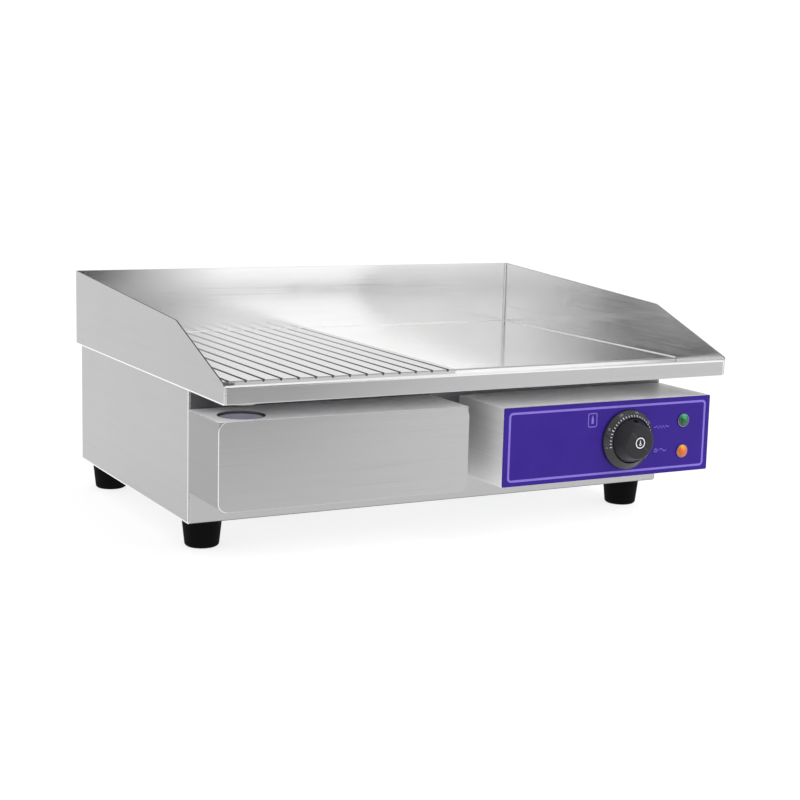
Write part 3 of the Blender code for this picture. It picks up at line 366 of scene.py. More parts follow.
FINISHES = {
    # Painted light and shade: one stainless steel in copies whose base colours differ by place and facing;
    # the front, drawer and box copies are lighter on top.
    "outer_steel": brushed_steel("outer_steel", (0.465, 0.465, 0.467), 0.34, 0.7),
    "front_steel": brushed_steel(
        "front_steel", (0.490, 0.490, 0.492), 0.34, 0.6, 0.5, 0.0, (0.93, 0.93, 0.93), 0.7),
    # Painted shade: the housing's front darkens towards the top, under the tray.
    "housing_face": graded_steel(
        "housing_face", ((0.475, 0.475, 0.477), (0.17, 0.17, 0.18)), 0.34, "Z", (0.085, 0.118)),
    # Painted shade: the control box's top darkens towards its right end.
    "control_top": graded_steel(
        "control_top", ((0.98, 0.98, 0.985), (0.50, 0.50, 0.50)), 0.40, "X", (0.180, 0.252), 0.15),
    # Painted highlight: near-white finish on the seam beads.
    "seam_painted_highlight": brushed_steel("seam_painted_highlight", (0.90, 0.90, 0.90), 0.30, 0.4, 0.0, 0.85),
    # Painted shade: the right guard's inside, darker than the other guards' insides.
    "right_steel": brushed_steel("right_steel", (0.755, 0.755, 0.755), 0.14, 0.35, 0.4),
    # Painted shade: dark upper edges of the guards, foot of the housing front and top of the drip hole's rim.
    "edge_painted_shade": brushed_steel("edge_painted_shade", (0.110, 0.110, 0.112), 0.45, 1.0, 0.0),
    # Painted shade: lavender grey inside the drip hole.
    "collar": brushed_steel("collar_painted_shade", (0.60, 0.58, 0.74), 0.45, 1.0, 0.0, 0.7),
    # Painted shade in the grooves.
    "groove": groove_painted_shade("groove_painted_shade"),
    # Painted highlight along folds and rounded edges.
    "fold_painted_highlight": brushed_steel("fold_painted_highlight", (0.930, 0.930, 0.930), 0.26, 0.5, 0.0),
    # Painted light: the inner faces of the rear and left guards, brighter than the outer faces.
    "inner_steel": brushed_steel("inner_steel", (0.910, 0.910, 0.910), 0.14, 0.35, 0.4),
    # Painted shade and light: the drawer's sides darker, its top lighter.
    "drawer_steel": brushed_steel(
        "drawer_steel", (0.345, 0.340, 0.342), 0.38, 0.7, 0.4, 0.2, (0.95, 0.95, 0.96), 0.85),
    # Painted light: the control box's remaining faces, brighter than the outer faces.
    "box_steel": brushed_steel(
        "box_steel", (0.90, 0.90, 0.90), 0.40, 0.7, 0.4, 0.7, (0.95, 0.95, 0.96), 0.85),
    "plate": ground_plate("ground_plate"),
    "zinc": plated_steel("bright_zinc", (0.60, 0.61, 0.63), 0.38),
    "lamp_rim": plated_steel("lamp_rim", (0.40, 0.40, 0.44), 0.30),
    "rubber": moulded(
        "foot_rubber", (0.0025, 0.0025, 0.0025), 0.70, 700.0, (0.006, 0.006, 0.006), Specular_IOR_Level=0.06),
    "sheath": drawn_metal("heated_sheath", (0.16, 0.15, 0.15), (0.24, 0.17, 0.12), 0.42, (500, 500, 60)),
    "fibre": fibre("ceramic_fibre"),
    "panel": printed_panel("panel_print_base"),
    "lilac_ink": ink("lilac_ink", (0.190, 0.135, 0.560)),
    "white_ink": ink("white_ink", (0.70, 0.70, 0.76)),
    "faint_ink": ink("faint_ink", (0.30, 0.30, 0.38)),
    "black_plastic": moulded(
        "black_plastic", (0.012, 0.012, 0.013), 0.42, 900.0, (0.05, 0.05, 0.05), Specular_IOR_Level=0.30),
    "knob_plastic": moulded(
        "knob_plastic", (0.0115, 0.0120, 0.0150), 0.34, 900.0, (0.05, 0.05, 0.055), Specular_IOR_Level=0.32),
    "dial_plastic": moulded(
        "dial_plastic", (0.0125, 0.0130, 0.0160), 0.30, 900.0, (0.05, 0.05, 0.055), Specular_IOR_Level=0.60),
    "green_lens": lamp_lens(
        "green_lens", (0.0, 0.040, 0.018), (0.0, 0.42, 0.12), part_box("heating_lamp_lens")[1].z),
    "orange_lens": lamp_lens(
        "orange_lens", (0.52, 0.085, 0.002), (0.80, 0.36, 0.02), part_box("power_lamp_lens")[1].z),
    "copper": drawn_metal("drawn_copper", (0.70, 0.36, 0.22), (0.52, 0.27, 0.18), 0.30, (900, 900, 900)),
    "ceramic": moulded("glazed_ceramic", (0.78, 0.76, 0.70), 0.28, 300.0, (0.80, 0.78, 0.74)),
    "silicone": moulded("silicone_sleeve", (0.42, 0.06, 0.05), 0.55, 500.0, (0.45, 0.10, 0.08)),
}

SLOT_FINISHES = {
    "stainless": "outer_steel",
    "plate_steel": "plate",
    "zinc": "zinc",
    "foot_rubber": "rubber",
    "element_sheath": "sheath",
    "ceramic_fibre": "fibre",
    "panel_paint": "panel",
    "black_plastic": "black_plastic",
    "knob_plastic": "knob_plastic",
    "green_lens": "green_lens",
    "orange_lens": "orange_lens",
    "copper": "copper",
    "white_ceramic": "ceramic",
    "wire_sleeve": "silicone",
}
NODE_FINISHES = {
    "grease_gutter": "front_steel",
    "housing_front": "housing_face",
    "drawer_front": "front_steel",
    "splash_guard_rear": "inner_steel",
    "splash_guard_right": "right_steel",
    "drawer_box": "drawer_steel",
    "control_box": "box_steel",
}
SLOTS = {part["node"]: part["material_slot"] for part in frame["record"]["subparts"]}


def body_of(node):
    """Name of the body that carries a node."""
    return next(name for name, nodes in frame["record"]["behaviour"]["bodies"].items() if node in nodes)


def finish_of(node):
    """Material of a node: its own, or its slot's."""
    return FINISHES[NODE_FINISHES.get(node, SLOT_FINISHES[SLOTS[node]])]


def paint_frame():
    """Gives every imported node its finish."""
    for node, obj in frame["nodes"].items():
        obj.data.materials.clear()
        obj.data.materials.append(finish_of(node))


# ---------------------------------------------------------------- mesh tools

TURNED = 35.0                # degrees: a turned part's edges stay sharp above this


def link_mesh(name, bm, material=None):
    """Turns a bmesh into an object in the scene."""
    mesh = bpy.data.meshes.new(name)
    bm.to_mesh(mesh)
    bm.free()
    if material:
        mesh.materials.append(material)
    obj = bpy.data.objects.new(name, mesh)
    bpy.context.scene.collection.objects.link(obj)
    return obj


def add_piece(name, bm, node, replaces=True, finish=None, smooth=40.0):
    """Turns a bmesh, already in place, into a piece that rides with a node's body."""
    obj = link_mesh(name, bm, finish or finish_of(node))
    obj.data.shade_smooth()
    obj.data.set_sharp_from_angle(angle=math.radians(smooth))
    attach(obj, body_of(node))
    if replaces:
        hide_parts(node)
    return obj


def add_detail(name, bm, node, finish):
    """Adds a piece beside a node, which stays, with a finish of its own."""
    return add_piece(name, bm, node, replaces=False, finish=FINISHES[finish])


SHEET_EDGE = 2.0 * MM        # a face narrower than this is the cut edge of a sheet
SHEET_BEND = 50.0            # degrees: faces that meet at more than this make an edge or a fold


def thickness_of(face):
    """Rough width of a face: small for the cut edge of a sheet."""
    return 2.0 * face.calc_area() / sum(edge.calc_length() for edge in face.edges)


def sharp_edges(bm, angle, test=lambda edge: True):
    """Outward edges between two faces that meet at more than an angle in degrees."""
    found = []
    for edge in bm.edges:
        if len(edge.link_faces) != 2 or not edge.is_convex:
            continue
        if edge.calc_face_angle() > math.radians(angle) and test(edge):
            found.append(edge)
    return found


def soften_sheet(node, edge_radius=0.30 * MM, fold_radius=0.0, cuts=(), choose=None):
    """Replaces a sheet with one whose folds are rounded and whose cut edges are broken.

    Cuts are planes (axis, place) that part a face into strips. Choose gives a face's finish from
    its middle, its normal, and whether it is a rounded edge; None leaves the sheet's own.
    """
    bm = bmesh.new()
    bm.from_mesh(frame["nodes"][node].data)
    bmesh.ops.remove_doubles(bm, verts=bm.verts, dist=0.002 * MM)
    bmesh.ops.dissolve_limit(
        bm, angle_limit=math.radians(0.5), use_dissolve_boundaries=False, verts=bm.verts, edges=bm.edges,
        delimit=set())
    rounded = set()
    if fold_radius:
        folds = sharp_edges(
            bm, SHEET_BEND, lambda edge: all(thickness_of(face) > SHEET_EDGE for face in edge.link_faces))
        made = bmesh.ops.bevel(
            bm, geom=folds, offset=fold_radius, segments=5, profile=0.5, affect="EDGES", clamp_overlap=True)
        rounded.update(made["faces"])
    made = bmesh.ops.bevel(
        bm, geom=sharp_edges(bm, SHEET_BEND), offset=edge_radius, segments=3, profile=0.5, affect="EDGES",
        clamp_overlap=True)
    rounded.update(made["faces"])
    for axis, place in cuts:
        normal = [0.0, 0.0, 0.0]
        normal[axis] = 1.0
        point = [place * part for part in normal]
        bmesh.ops.bisect_plane(
            bm, geom=bm.verts[:] + bm.edges[:] + bm.faces[:], dist=0.0001 * MM, plane_co=point,
            plane_no=normal)
    bm.normal_update()
    names = [None]
    for face in bm.faces:
        is_rounded = face in rounded
        if choose:
            name = choose(face.calc_center_median(), face.normal, is_rounded)
        else:
            # Rounded edges get the painted fold highlight.
            name = "fold_painted_highlight" if is_rounded else None
        if name not in names:
            names.append(name)
        face.material_index = names.index(name)
    obj = add_piece(node + "_sheet", bm, node, smooth=SHEET_BEND)
    for name in names[1:]:
        obj.data.materials.append(FINISHES[name])
    weights = obj.modifiers.new("flat_faces", "WEIGHTED_NORMAL")
    weights.keep_sharp = True
    weights.weight = 80
    return obj


def arc(centre_x, centre_y, radius, start, end, steps):
    """Points along an arc, angles in degrees."""
    points = []
    for step in range(steps + 1):
        angle = math.radians(start + (end - start) * step / steps)
        points.append((centre_x + radius * math.cos(angle), centre_y + radius * math.sin(angle)))
    return points


def filleted(corners, radii, steps=5, closed=True):
    """Outline through the corners, each rounded by its own radius in millimetres."""
    points = []
    count = len(corners)
    for index, (corner, radius) in enumerate(zip(corners, radii)):
        if radius == 0.0 or (not closed and index in (0, count - 1)):
            points.append(corner)
            continue
        radius *= MM
        here = Vector(corner)
        before = (Vector(corners[index - 1]) - here).normalized()
        after = (Vector(corners[(index + 1) % count]) - here).normalized()
        half = before.angle(after) / 2
        reach = radius / math.tan(half)
        start = here + before * reach
        finish = here + after * reach
        centre = here + (before + after).normalized() * (radius / math.sin(half))
        first = start - centre
        turn = first.angle_signed(finish - centre)
        for step in range(steps + 1):
            offset = first.copy()
            offset.rotate(Matrix.Rotation(-turn * step / steps, 2))
            points.append(tuple(centre + offset))
    return points


def lathe(profile, steps, centre, facing=Matrix.Identity(4)):
    """Profile of (radius, height) turned about its axis, then set in place."""
    bm = bmesh.new()
    verts = [bm.verts.new((radius, 0.0, height)) for radius, height in profile]
    edges = [bm.edges.new(pair) for pair in zip(verts, verts[1:])]
    bmesh.ops.spin(
        bm, geom=verts + edges, cent=(0, 0, 0), axis=(0, 0, 1), angle=2 * math.pi, steps=steps)
    bmesh.ops.remove_doubles(bm, verts=bm.verts, dist=0.001 * MM)
    bmesh.ops.recalc_face_normals(bm, faces=bm.faces)
    bmesh.ops.transform(bm, matrix=Matrix.Translation(centre) @ facing, verts=bm.verts)
    return bm


def flat_ring(outer, inner, thickness):
    """Band between two outlines that have the same number of points, in the XY plane."""
    bm = bmesh.new()
    rings = []
    for height in (0.0, thickness):
        for outline in (outer, inner):
            rings.append([bm.verts.new((x, y, height)) for x, y in outline])
    low_out, low_in, high_out, high_in = rings
    for index in range(len(outer)):
        after = (index + 1) % len(outer)
        for a, b in ((high_out, high_in), (high_in, low_in), (low_in, low_out), (low_out, high_out)):
            bm.faces.new((a[index], a[after], b[after], b[index]))
    bmesh.ops.recalc_face_normals(bm, faces=bm.faces)
    return bm


def merge(target, source, matrix):
    """Adds one bmesh to another, moved by a matrix."""
    bmesh.ops.transform(source, matrix=matrix, verts=source.verts)
    mesh = bpy.data.meshes.new("merged")
    source.to_mesh(mesh)
    source.free()
    target.from_mesh(mesh)
    bpy.data.meshes.remove(mesh)


INK_FLATNESS = 0.2           # a line of ink's height as a share of its width
DIGIT_SHARE = 0.7            # a digit's height as a share of the font's size


def mesh_of(curve):
    """bmesh of a curve or a text."""
    obj = bpy.data.objects.new(curve.name, curve)
    bpy.context.scene.collection.objects.link(obj)
    bpy.context.view_layer.update()
    depsgraph = bpy.context.evaluated_depsgraph_get()
    mesh = bpy.data.meshes.new_from_object(obj.evaluated_get(depsgraph))
    bm = bmesh.new()
    bm.from_mesh(mesh)
    bmesh.ops.remove_doubles(bm, verts=bm.verts, dist=0.0005 * MM)
    bpy.data.objects.remove(obj)
    bpy.data.meshes.remove(mesh)
    return bm


def tube(points, radius, closed=False):
    """Round bar along points."""
    curve = bpy.data.curves.new("tube", "CURVE")
    curve.dimensions = "3D"
    curve.bevel_depth = radius
    curve.bevel_resolution = 2
    curve.use_fill_caps = True
    spline = curve.splines.new("POLY")
    spline.points.add(len(points) - 1)
    for point, place in zip(spline.points, points):
        point.co = (*place, 1.0)
    spline.use_cyclic_u = closed
    return mesh_of(curve)


def ink_stroke(points, width, closed=False):
    """Line of ink: a flattened tube along points in the XY plane."""
    bm = tube([(x, y, 0.0) for x, y in points], width / 2, closed)
    bmesh.ops.scale(bm, vec=(1.0, 1.0, INK_FLATNESS), verts=bm.verts)
    return bm


def numeral(text, height):
    """Upright number, centred on the origin, as thick as ink."""
    curve = bpy.data.curves.new("numeral", "FONT")
    curve.body = text
    curve.size = height / DIGIT_SHARE
    curve.extrude = 0.04 * MM
    curve.align_x = "CENTER"
    curve.align_y = "CENTER"
    return mesh_of(curve)


# ---------------------------------------------------------------- sheet metal

GUARD_FOOT, GUARD_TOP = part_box("splash_guard_rear")[0].z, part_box("splash_guard_rear")[1].z
PLATE_LOW, PLATE_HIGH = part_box("griddle_plate")
BODY_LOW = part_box("housing_side_left")[0]
DRIP_HOLE = Vector((-235.0 * MM, -164.0 * MM, 0.0))
LIP_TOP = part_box("grease_gutter")[1].z
LIP_ROLL = 1.9 * MM
LIP_END = 1.2 * MM
DRAWER_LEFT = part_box("drawer_front")[0].x
RIM = 1.5 * MM               # width of the painted highlight along a fold
FACING = 0.7                 # a face looks along an axis when its normal has more than this of it


def guard_faces(inward, finish="inner_steel"):
    """Guards get painted light and shade: a bright tone inside, a satin tone outside, painted shade on the
    upper cut edge and a painted highlight along the foot and the side guards' front ends.
    """
    def choose(middle, normal, rounded):
        if normal.z > 0.3:
            return "edge_painted_shade"
        if middle.z < GUARD_FOOT + RIM or normal.y < -0.9 and inward.x:
            return "fold_painted_highlight"
        return finish if normal.dot(inward) > FACING else "outer_steel"
    return choose


# Rear guard: painted light inside, and a painted highlight along its foot and rounded edges.
def rear_guard_faces(middle, normal, rounded):
    if normal.y < -FACING:
        return "inner_steel"
    return "fold_painted_highlight" if middle.z < GUARD_FOOT + RIM or rounded else "outer_steel"


def lip_faces(middle, normal, rounded):
    """The gutter's lip gets a painted highlight over its rolled top and at its ends."""
    at_end = abs(middle.x) > PLATE_HIGH.x - LIP_END
    if normal.y < -0.9 and at_end:
        return "fold_painted_highlight"
    rolled = middle.z > LIP_TOP - LIP_ROLL and (normal.z > 0.15 or normal.y < -0.5)
    return "fold_painted_highlight" if rolled else None


def plate_faces(middle, normal, rounded):
    """Grooves get painted shade; the plate's rear and side edges get a painted highlight, and its front face
    the duller painted tone of the front faces.
    """
    if normal.y < -0.3 and middle.y < PLATE_LOW.y + 1.0 * MM and middle.z > PLATE_HIGH.z - RIM:
        return "front_steel"
    if rounded and (normal.y > 0.3 or abs(middle.x) > PLATE_HIGH.x - 0.5 * MM):
        return "fold_painted_highlight"
    sunken = PLATE_HIGH.z - 2.3 * MM < middle.z < PLATE_HIGH.z - 0.02 * MM
    inside = abs(middle.x) < PLATE_HIGH.x - 1.0 * MM and abs(normal.y) < 0.9
    return "groove" if sunken and inside else None


def housing_faces(middle, normal, rounded):
    """The housing's front corners and foot get a painted highlight."""
    corner = middle.y < BODY_LOW.y + RIM and abs(normal.x) > 0.5
    return "fold_painted_highlight" if rounded or corner or middle.z < BODY_LOW.z + RIM else None


def housing_front_faces(middle, normal, rounded):
    """The housing's front panel gets painted shade along its foot and a painted highlight at its sides."""
    if middle.z < BODY_LOW.z + 0.6 * MM:
        return "edge_painted_shade"
    return "fold_painted_highlight" if abs(middle.x) > -BODY_LOW.x - 2.2 * MM else None


def drawer_front_faces(middle, normal, rounded):
    """The drawer's front gets a painted highlight round its left edge."""
    return "fold_painted_highlight" if rounded and middle.x < DRAWER_LEFT + 9.0 * MM else None


def drawer_box_faces(middle, normal, rounded):
    """The drawer's side edges get a painted highlight at the top; its nose matches the front's painted tone.
    """
    if normal.y < -FACING:
        return "front_steel"
    top_edge = rounded and middle.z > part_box("drawer_box")[1].z - 2.0 * MM and abs(normal.x) > 0.2
    return "fold_painted_highlight" if top_edge and abs(normal.y) < 0.3 else None


def control_box_faces(middle, normal, rounded):
    """The control box gets a painted highlight along the edge behind its panel; its top gets painted shade,
    darker towards its right end.
    """
    behind_panel = middle.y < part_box("control_box")[0].y + 1.2 * MM
    if rounded and behind_panel:
        return "fold_painted_highlight"
    if normal.z > FACING:
        return "control_top"
    return "outer_steel" if normal.x > FACING else None


def build_sheets():
    """Visible sheet metal, with its folds and edges rounded."""
    foot_cut = [(2, GUARD_FOOT + RIM)]
    soften_sheet("splash_guard_left", 0.50 * MM, 0.0, foot_cut, guard_faces(Vector((1, 0, 0))))
    soften_sheet(
        "splash_guard_right", 0.50 * MM, 0.0, foot_cut, guard_faces(Vector((-1, 0, 0)), "right_steel"))
    soften_sheet("splash_guard_rear", 0.50 * MM, 0.0, foot_cut, rear_guard_faces)
    end = PLATE_HIGH.x - LIP_END
    lip_cuts = [(0, end), (0, -end), (2, LIP_TOP - LIP_ROLL)]
    soften_sheet("grease_gutter", 0.35 * MM, 0.0, lip_cuts, lip_faces)
    soften_sheet("griddle_plate", 0.35 * MM, 0.0, [(2, PLATE_HIGH.z - RIM)], plate_faces)
    body_cuts = [(1, BODY_LOW.y + RIM), (2, BODY_LOW.z + RIM)]
    for node in ("housing_side_left", "housing_side_right"):
        soften_sheet(node, 0.40 * MM, 0.0, body_cuts, housing_faces)
    soften_sheet("housing_rear", 0.40 * MM, 0.0, body_cuts[1:], housing_faces)
    front_cuts = [(2, BODY_LOW.z + 0.6 * MM)]
    soften_sheet("housing_front", 0.30 * MM, 0.0, front_cuts, housing_front_faces)
    soften_sheet("drawer_front", 0.45 * MM, 0.0, (), drawer_front_faces)
    soften_sheet("drawer_box", 0.30 * MM, 1.0 * MM, (), drawer_box_faces)
    soften_sheet("grease_tray", 0.25 * MM, 1.4 * MM)
    soften_sheet("control_box", 0.30 * MM, 0.8 * MM, (), control_box_faces)
    soften_sheet("control_panel", 0.20 * MM)


def build_seams():
    """Weld seams round the plate and up the two rear corners, with a painted highlight."""
    seams = bmesh.new()
    side, rear = PLATE_HIGH.x - 0.1 * MM, PLATE_HIGH.y - 0.1 * MM
    foot, front = PLATE_HIGH.z + 0.1 * MM, PLATE_LOW.y + 1.0 * MM
    round_plate = [(-side, front, foot), (-side, rear, foot), (side, rear, foot), (side, front, foot)]
    merge(seams, tube(round_plate, 0.55 * MM), Matrix.Identity(4))
    corner = Vector((PLATE_HIGH.x - 0.6 * MM, PLATE_HIGH.y - 0.6 * MM, 0.0))
    for x in (-corner.x, corner.x):
        bar = [(x, corner.y, foot), (x, corner.y, GUARD_TOP - 1.2 * MM)]
        merge(seams, tube(bar, 1.0 * MM), Matrix.Identity(4))
    add_detail("plate_weld_seams", seams, "griddle_plate", "seam_painted_highlight")


def build_drip_collar():
    """Turned-down rim of the drip hole in the drawer's top, with painted shade: lavender grey, and dark along
    its top edge.
    """
    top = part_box("drawer_box")[1].z
    outside, inside, foot = 22.3 * MM, 21.4 * MM, 20.2 * MM
    profile = filleted(
        [
            (inside, top + 0.05 * MM), (outside, top + 0.05 * MM), (outside, top - 8.5 * MM),
            (foot, top - 8.5 * MM), (foot + 0.5 * MM, top - 7.5 * MM), (inside - 0.2 * MM, top - 2.4 * MM),
        ],
        [0.3, 0.2, 0.2, 0.2, 0.2, 0.0], 3)
    bm = lathe(profile + profile[:1], 96, DRIP_HOLE)
    collar = add_detail("drip_collar", bm, "drawer_box", "collar")
    collar.data.materials.append(FINISHES["edge_painted_shade"])
    for face in collar.data.polygons:
        if face.center.z > top - 2.4 * MM:
            face.material_index = 1


# ---------------------------------------------------------------- dial and knob

DIAL_START = 193.0           # degrees, counter-clockwise from +X as seen from the front
TICK_STEP = 7.8              # degrees for 10 on the scale
TICK_COUNT = 31
CONE_LOW = (DIAL_RADIUS - 0.6 * MM, 3.2 * MM)
CONE_HIGH = (KNOB_RADIUS + 1.1 * MM, DIAL_CREST)


def on_cone(radius, degrees):
    """Matrix that lays the XY plane on the dial's sloping face, with Y pointing away from the knob."""
    along = (radius - CONE_HIGH[0]) / (CONE_LOW[0] - CONE_HIGH[0])
    height = CONE_HIGH[1] + along * (CONE_LOW[1] - CONE_HIGH[1])
    slope = math.atan2(CONE_HIGH[1] - CONE_LOW[1], CONE_LOW[0] - CONE_HIGH[0])
    angle = math.radians(degrees)
    outward = Vector((math.cos(angle), 0.0, math.sin(angle)))
    front = Vector((0.0, -1.0, 0.0))
    x_axis = Vector((math.sin(angle), 0.0, -math.cos(angle)))
    y_axis = outward * math.cos(slope) - front * math.sin(slope)
    z_axis = outward * math.sin(slope) + front * math.cos(slope)
    matrix = Matrix((x_axis, y_axis, z_axis)).transposed().to_4x4()
    matrix.translation = DIAL_CENTRE + outward * radius + front * height
    return matrix


def build_dial():
    """Dial with its sloping face, and the scale printed on it."""
    recess = KNOB_RADIUS + 0.7 * MM
    seat = 1.3 * MM
    profile = filleted(
        [
            (recess, seat), (recess, DIAL_CREST), CONE_HIGH, CONE_LOW,
            (DIAL_RADIUS, 2.0 * MM), (DIAL_RADIUS, 0.3 * MM), (6.0 * MM, 0.3 * MM), (6.0 * MM, seat),
        ],
        [0.0, 0.15, 0.25, 0.5, 0.5, 0.1, 0.0, 0.0], 4)
    bm = lathe(profile + profile[:1], 128, DIAL_CENTRE, FRONTWARDS)
    add_piece("dial_ring_moulded", bm, "dial_ring", smooth=TURNED, finish=FINISHES["dial_plastic"])
    scale = bmesh.new()
    numerals = bmesh.new()
    for index in range(TICK_COUNT):
        degrees = DIAL_START - index * TICK_STEP
        long_tick = index % 5 == 0
        length = (2.1 if long_tick else 1.7) * MM
        middle = KNOB_RADIUS + 1.8 * MM + 0.4 * length
        tick = ink_stroke([(0.0, -length / 2), (0.0, length / 2)], (0.80 if long_tick else 0.66) * MM)
        merge(scale, tick, on_cone(middle, degrees))
        if long_tick:
            merge(numerals, numeral(str(index * 10), 2.1 * MM), on_cone(DIAL_RADIUS - 2.3 * MM, degrees))
    add_detail("dial_scale", scale, "dial_ring", "white_ink")
    add_detail("dial_numerals", numerals, "dial_ring", "faint_ink")


def cut_notch(knob):
    """Cuts the index notch: a slot down the top of the grip, from its foot to its shoulder."""
    bm = bmesh.new()
    bmesh.ops.create_cube(bm, size=1.0)
    bmesh.ops.bevel(
        bm, geom=bm.edges[:], offset=0.12, segments=3, profile=0.5, affect="EDGES", clamp_overlap=True)
    slope = Matrix.Rotation(math.radians(-24.0), 4, "X")
    place = Matrix.Translation(DIAL_CENTRE + Vector((0.0, -11.8 * MM, 19.9 * MM)))
    size = Matrix.Diagonal((6.0 * MM, 6.0 * MM, 3.8 * MM, 1.0))
    bmesh.ops.transform(bm, matrix=place @ slope @ size, verts=bm.verts)
    cutter = link_mesh("notch_cutter", bm)
    boolean = knob.modifiers.new("notch", "BOOLEAN")
    boolean.object = cutter
    boolean.solver = "EXACT"
    bpy.context.view_layer.update()
    depsgraph = bpy.context.evaluated_depsgraph_get()
    cut = bpy.data.meshes.new_from_object(knob.evaluated_get(depsgraph))
    knob.modifiers.remove(boolean)
    cut.name = knob.name
    cut.set_sharp_from_angle(angle=math.radians(TURNED))
    knob.data = cut
    mesh = cutter.data
    bpy.data.objects.remove(cutter)
    bpy.data.meshes.remove(mesh)


def build_knob():
    """Hollow tapered knob with an index notch at its top."""
    front = KNOB_HEIGHT - 0.15 * MM
    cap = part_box("knob_cap")
    cap_radius = (cap[1].x - cap[0].x) / 2
    foot = 1.8 * MM
    outside = filleted(
        [
            (0.0, front - 1.2 * MM),
            (cap_radius + 0.3 * MM, front - 1.2 * MM),
            (cap_radius + 0.3 * MM, front),
            (16.6 * MM, front - 0.7 * MM),
            (KNOB_RADIUS - 0.9 * MM, DIAL_CREST + 1.4 * MM),
            (KNOB_RADIUS, DIAL_CREST - 0.6 * MM),
            (KNOB_RADIUS, foot),
            (KNOB_RADIUS - 2.5 * MM, foot),
            (15.0 * MM, front - 6.0 * MM),
            (6.0 * MM, front - 6.0 * MM),
            (6.0 * MM, 3.6 * MM),
            (3.3 * MM, 3.6 * MM),
            (3.3 * MM, KNOB_HEIGHT - 4.0 * MM),
            (0.0, KNOB_HEIGHT - 4.0 * MM),
        ],
        [0.0, 0.2, 0.4, 3.0, 0.8, 0.5, 0.2, 0.2] + [0.0] * 6, 6,
        closed=False)
    bm = lathe(outside, 128, DIAL_CENTRE, FRONTWARDS)
    cut_notch(add_piece("knob_moulded", bm, "thermostat_knob", smooth=TURNED))
    cap_face = KNOB_HEIGHT - 0.25 * MM
    cap_profile = filleted(
        [(0.0, cap_face), (cap_radius, cap_face), (cap_radius, KNOB_HEIGHT - 0.9 * MM),
         (0.0, KNOB_HEIGHT - 0.9 * MM)],
        [0.0, 0.3, 0.0, 0.0], 5, closed=False)
    bm = lathe(cap_profile, 64, DIAL_CENTRE, FRONTWARDS)
    add_piece("knob_cap_moulded", bm, "knob_cap", smooth=TURNED)
    mark = bmesh.new()
    place = Matrix.Translation(DIAL_CENTRE + Vector((0.0, -cap_face, 0.0))) @ FRONTWARDS
    ring = circle_points(5.1 * MM, 64)
    merge(mark, ink_stroke(ring, 1.1 * MM, closed=True), place)
    merge(mark, ink_stroke(circle_points(1.0 * MM, 24, 0.0, -1.5 * MM), 0.7 * MM, closed=True), place)
    merge(mark, ink_stroke([(0.0, -0.4 * MM), (0.0, 2.6 * MM)], 1.0 * MM), place)
    add_detail("knob_mark", mark, "knob_cap", "white_ink")


def circle_points(radius, steps, centre_x=0.0, centre_y=0.0):
    return arc(centre_x, centre_y, radius, 0.0, 360.0, steps)[:-1]


# ---------------------------------------------------------------- printing on the panel

def rounded_rectangle(low_x, low_y, high_x, high_y, radius, steps=8):
    corners = [(low_x, low_y), (high_x, low_y), (high_x, high_y), (low_x, high_y)]
    return filleted(corners, [radius] * 4, steps)


def build_panel_print():
    """Frame line, thermometer mark, and generic marks for heating and power."""
    on_panel = Matrix.Translation((0.0, PANEL_FACE, 0.0)) @ FRONTWARDS
    low_x, low_z = PANEL[0].x + 6.1 * MM, PANEL[0].z + 4.2 * MM
    high_x, high_z = PANEL[1].x - 5.2 * MM, PANEL[1].z - 4.9 * MM
    width = 2.2 * MM
    outer = rounded_rectangle(low_x, low_z, high_x, high_z, 4.5)
    inner = rounded_rectangle(low_x + width, low_z + width, high_x - width, high_z - width, 2.3)
    printed = bmesh.new()
    merge(printed, flat_ring(outer, inner, 0.06 * MM), on_panel)
    mark_x, mark_z = 123.5 * MM, 118.0 * MM
    outline = rounded_rectangle(
        mark_x - 5.0 * MM, mark_z - 6.7 * MM, mark_x + 5.0 * MM, mark_z + 6.7 * MM, 1.6)
    merge(printed, ink_stroke(outline, 0.9 * MM, closed=True), on_panel)
    merge(printed, ink_stroke([(mark_x, mark_z - 3.6 * MM), (mark_x, mark_z + 2.4 * MM)], 2.6 * MM), on_panel)
    merge(printed, ink_stroke([(mark_x, mark_z + 2.4 * MM), (mark_x, mark_z + 4.6 * MM)], 1.1 * MM), on_panel)
    add_detail("panel_frame_print", printed, "control_panel", "lilac_ink")
    labels = bmesh.new()
    left, middle_z = 199.5 * MM, 106.0 * MM
    zigzag = [(left, middle_z), (left + 2.5 * MM, middle_z)]
    for index in range(7):
        height = 1.5 * MM if index % 2 == 0 else -1.5 * MM
        zigzag.append((left + (3.6 + 1.9 * index) * MM, middle_z + height))
    zigzag += [(left + 16.2 * MM, middle_z), (left + 18.7 * MM, middle_z)]
    merge(labels, ink_stroke(zigzag, 0.65 * MM), on_panel)
    centre_x, middle_z = 203.0 * MM, 82.0 * MM
    merge(labels, ink_stroke(arc(centre_x, middle_z, 1.8 * MM, 130.0, 410.0, 20), 0.65 * MM), on_panel)
    bar = [(centre_x, middle_z + 0.2 * MM), (centre_x, middle_z + 2.3 * MM)]
    merge(labels, ink_stroke(bar, 0.65 * MM), on_panel)
    wave = []
    for step in range(25):
        wave.append((
            centre_x + (4.2 + 9.0 * step / 24) * MM,
            middle_z + 1.3 * MM * math.sin(2 * math.pi * step / 24)))
    merge(labels, ink_stroke(wave, 0.65 * MM), on_panel)
    add_detail("panel_label_print", labels, "control_panel", "lilac_ink")


# ---------------------------------------------------------------- lamps and feet

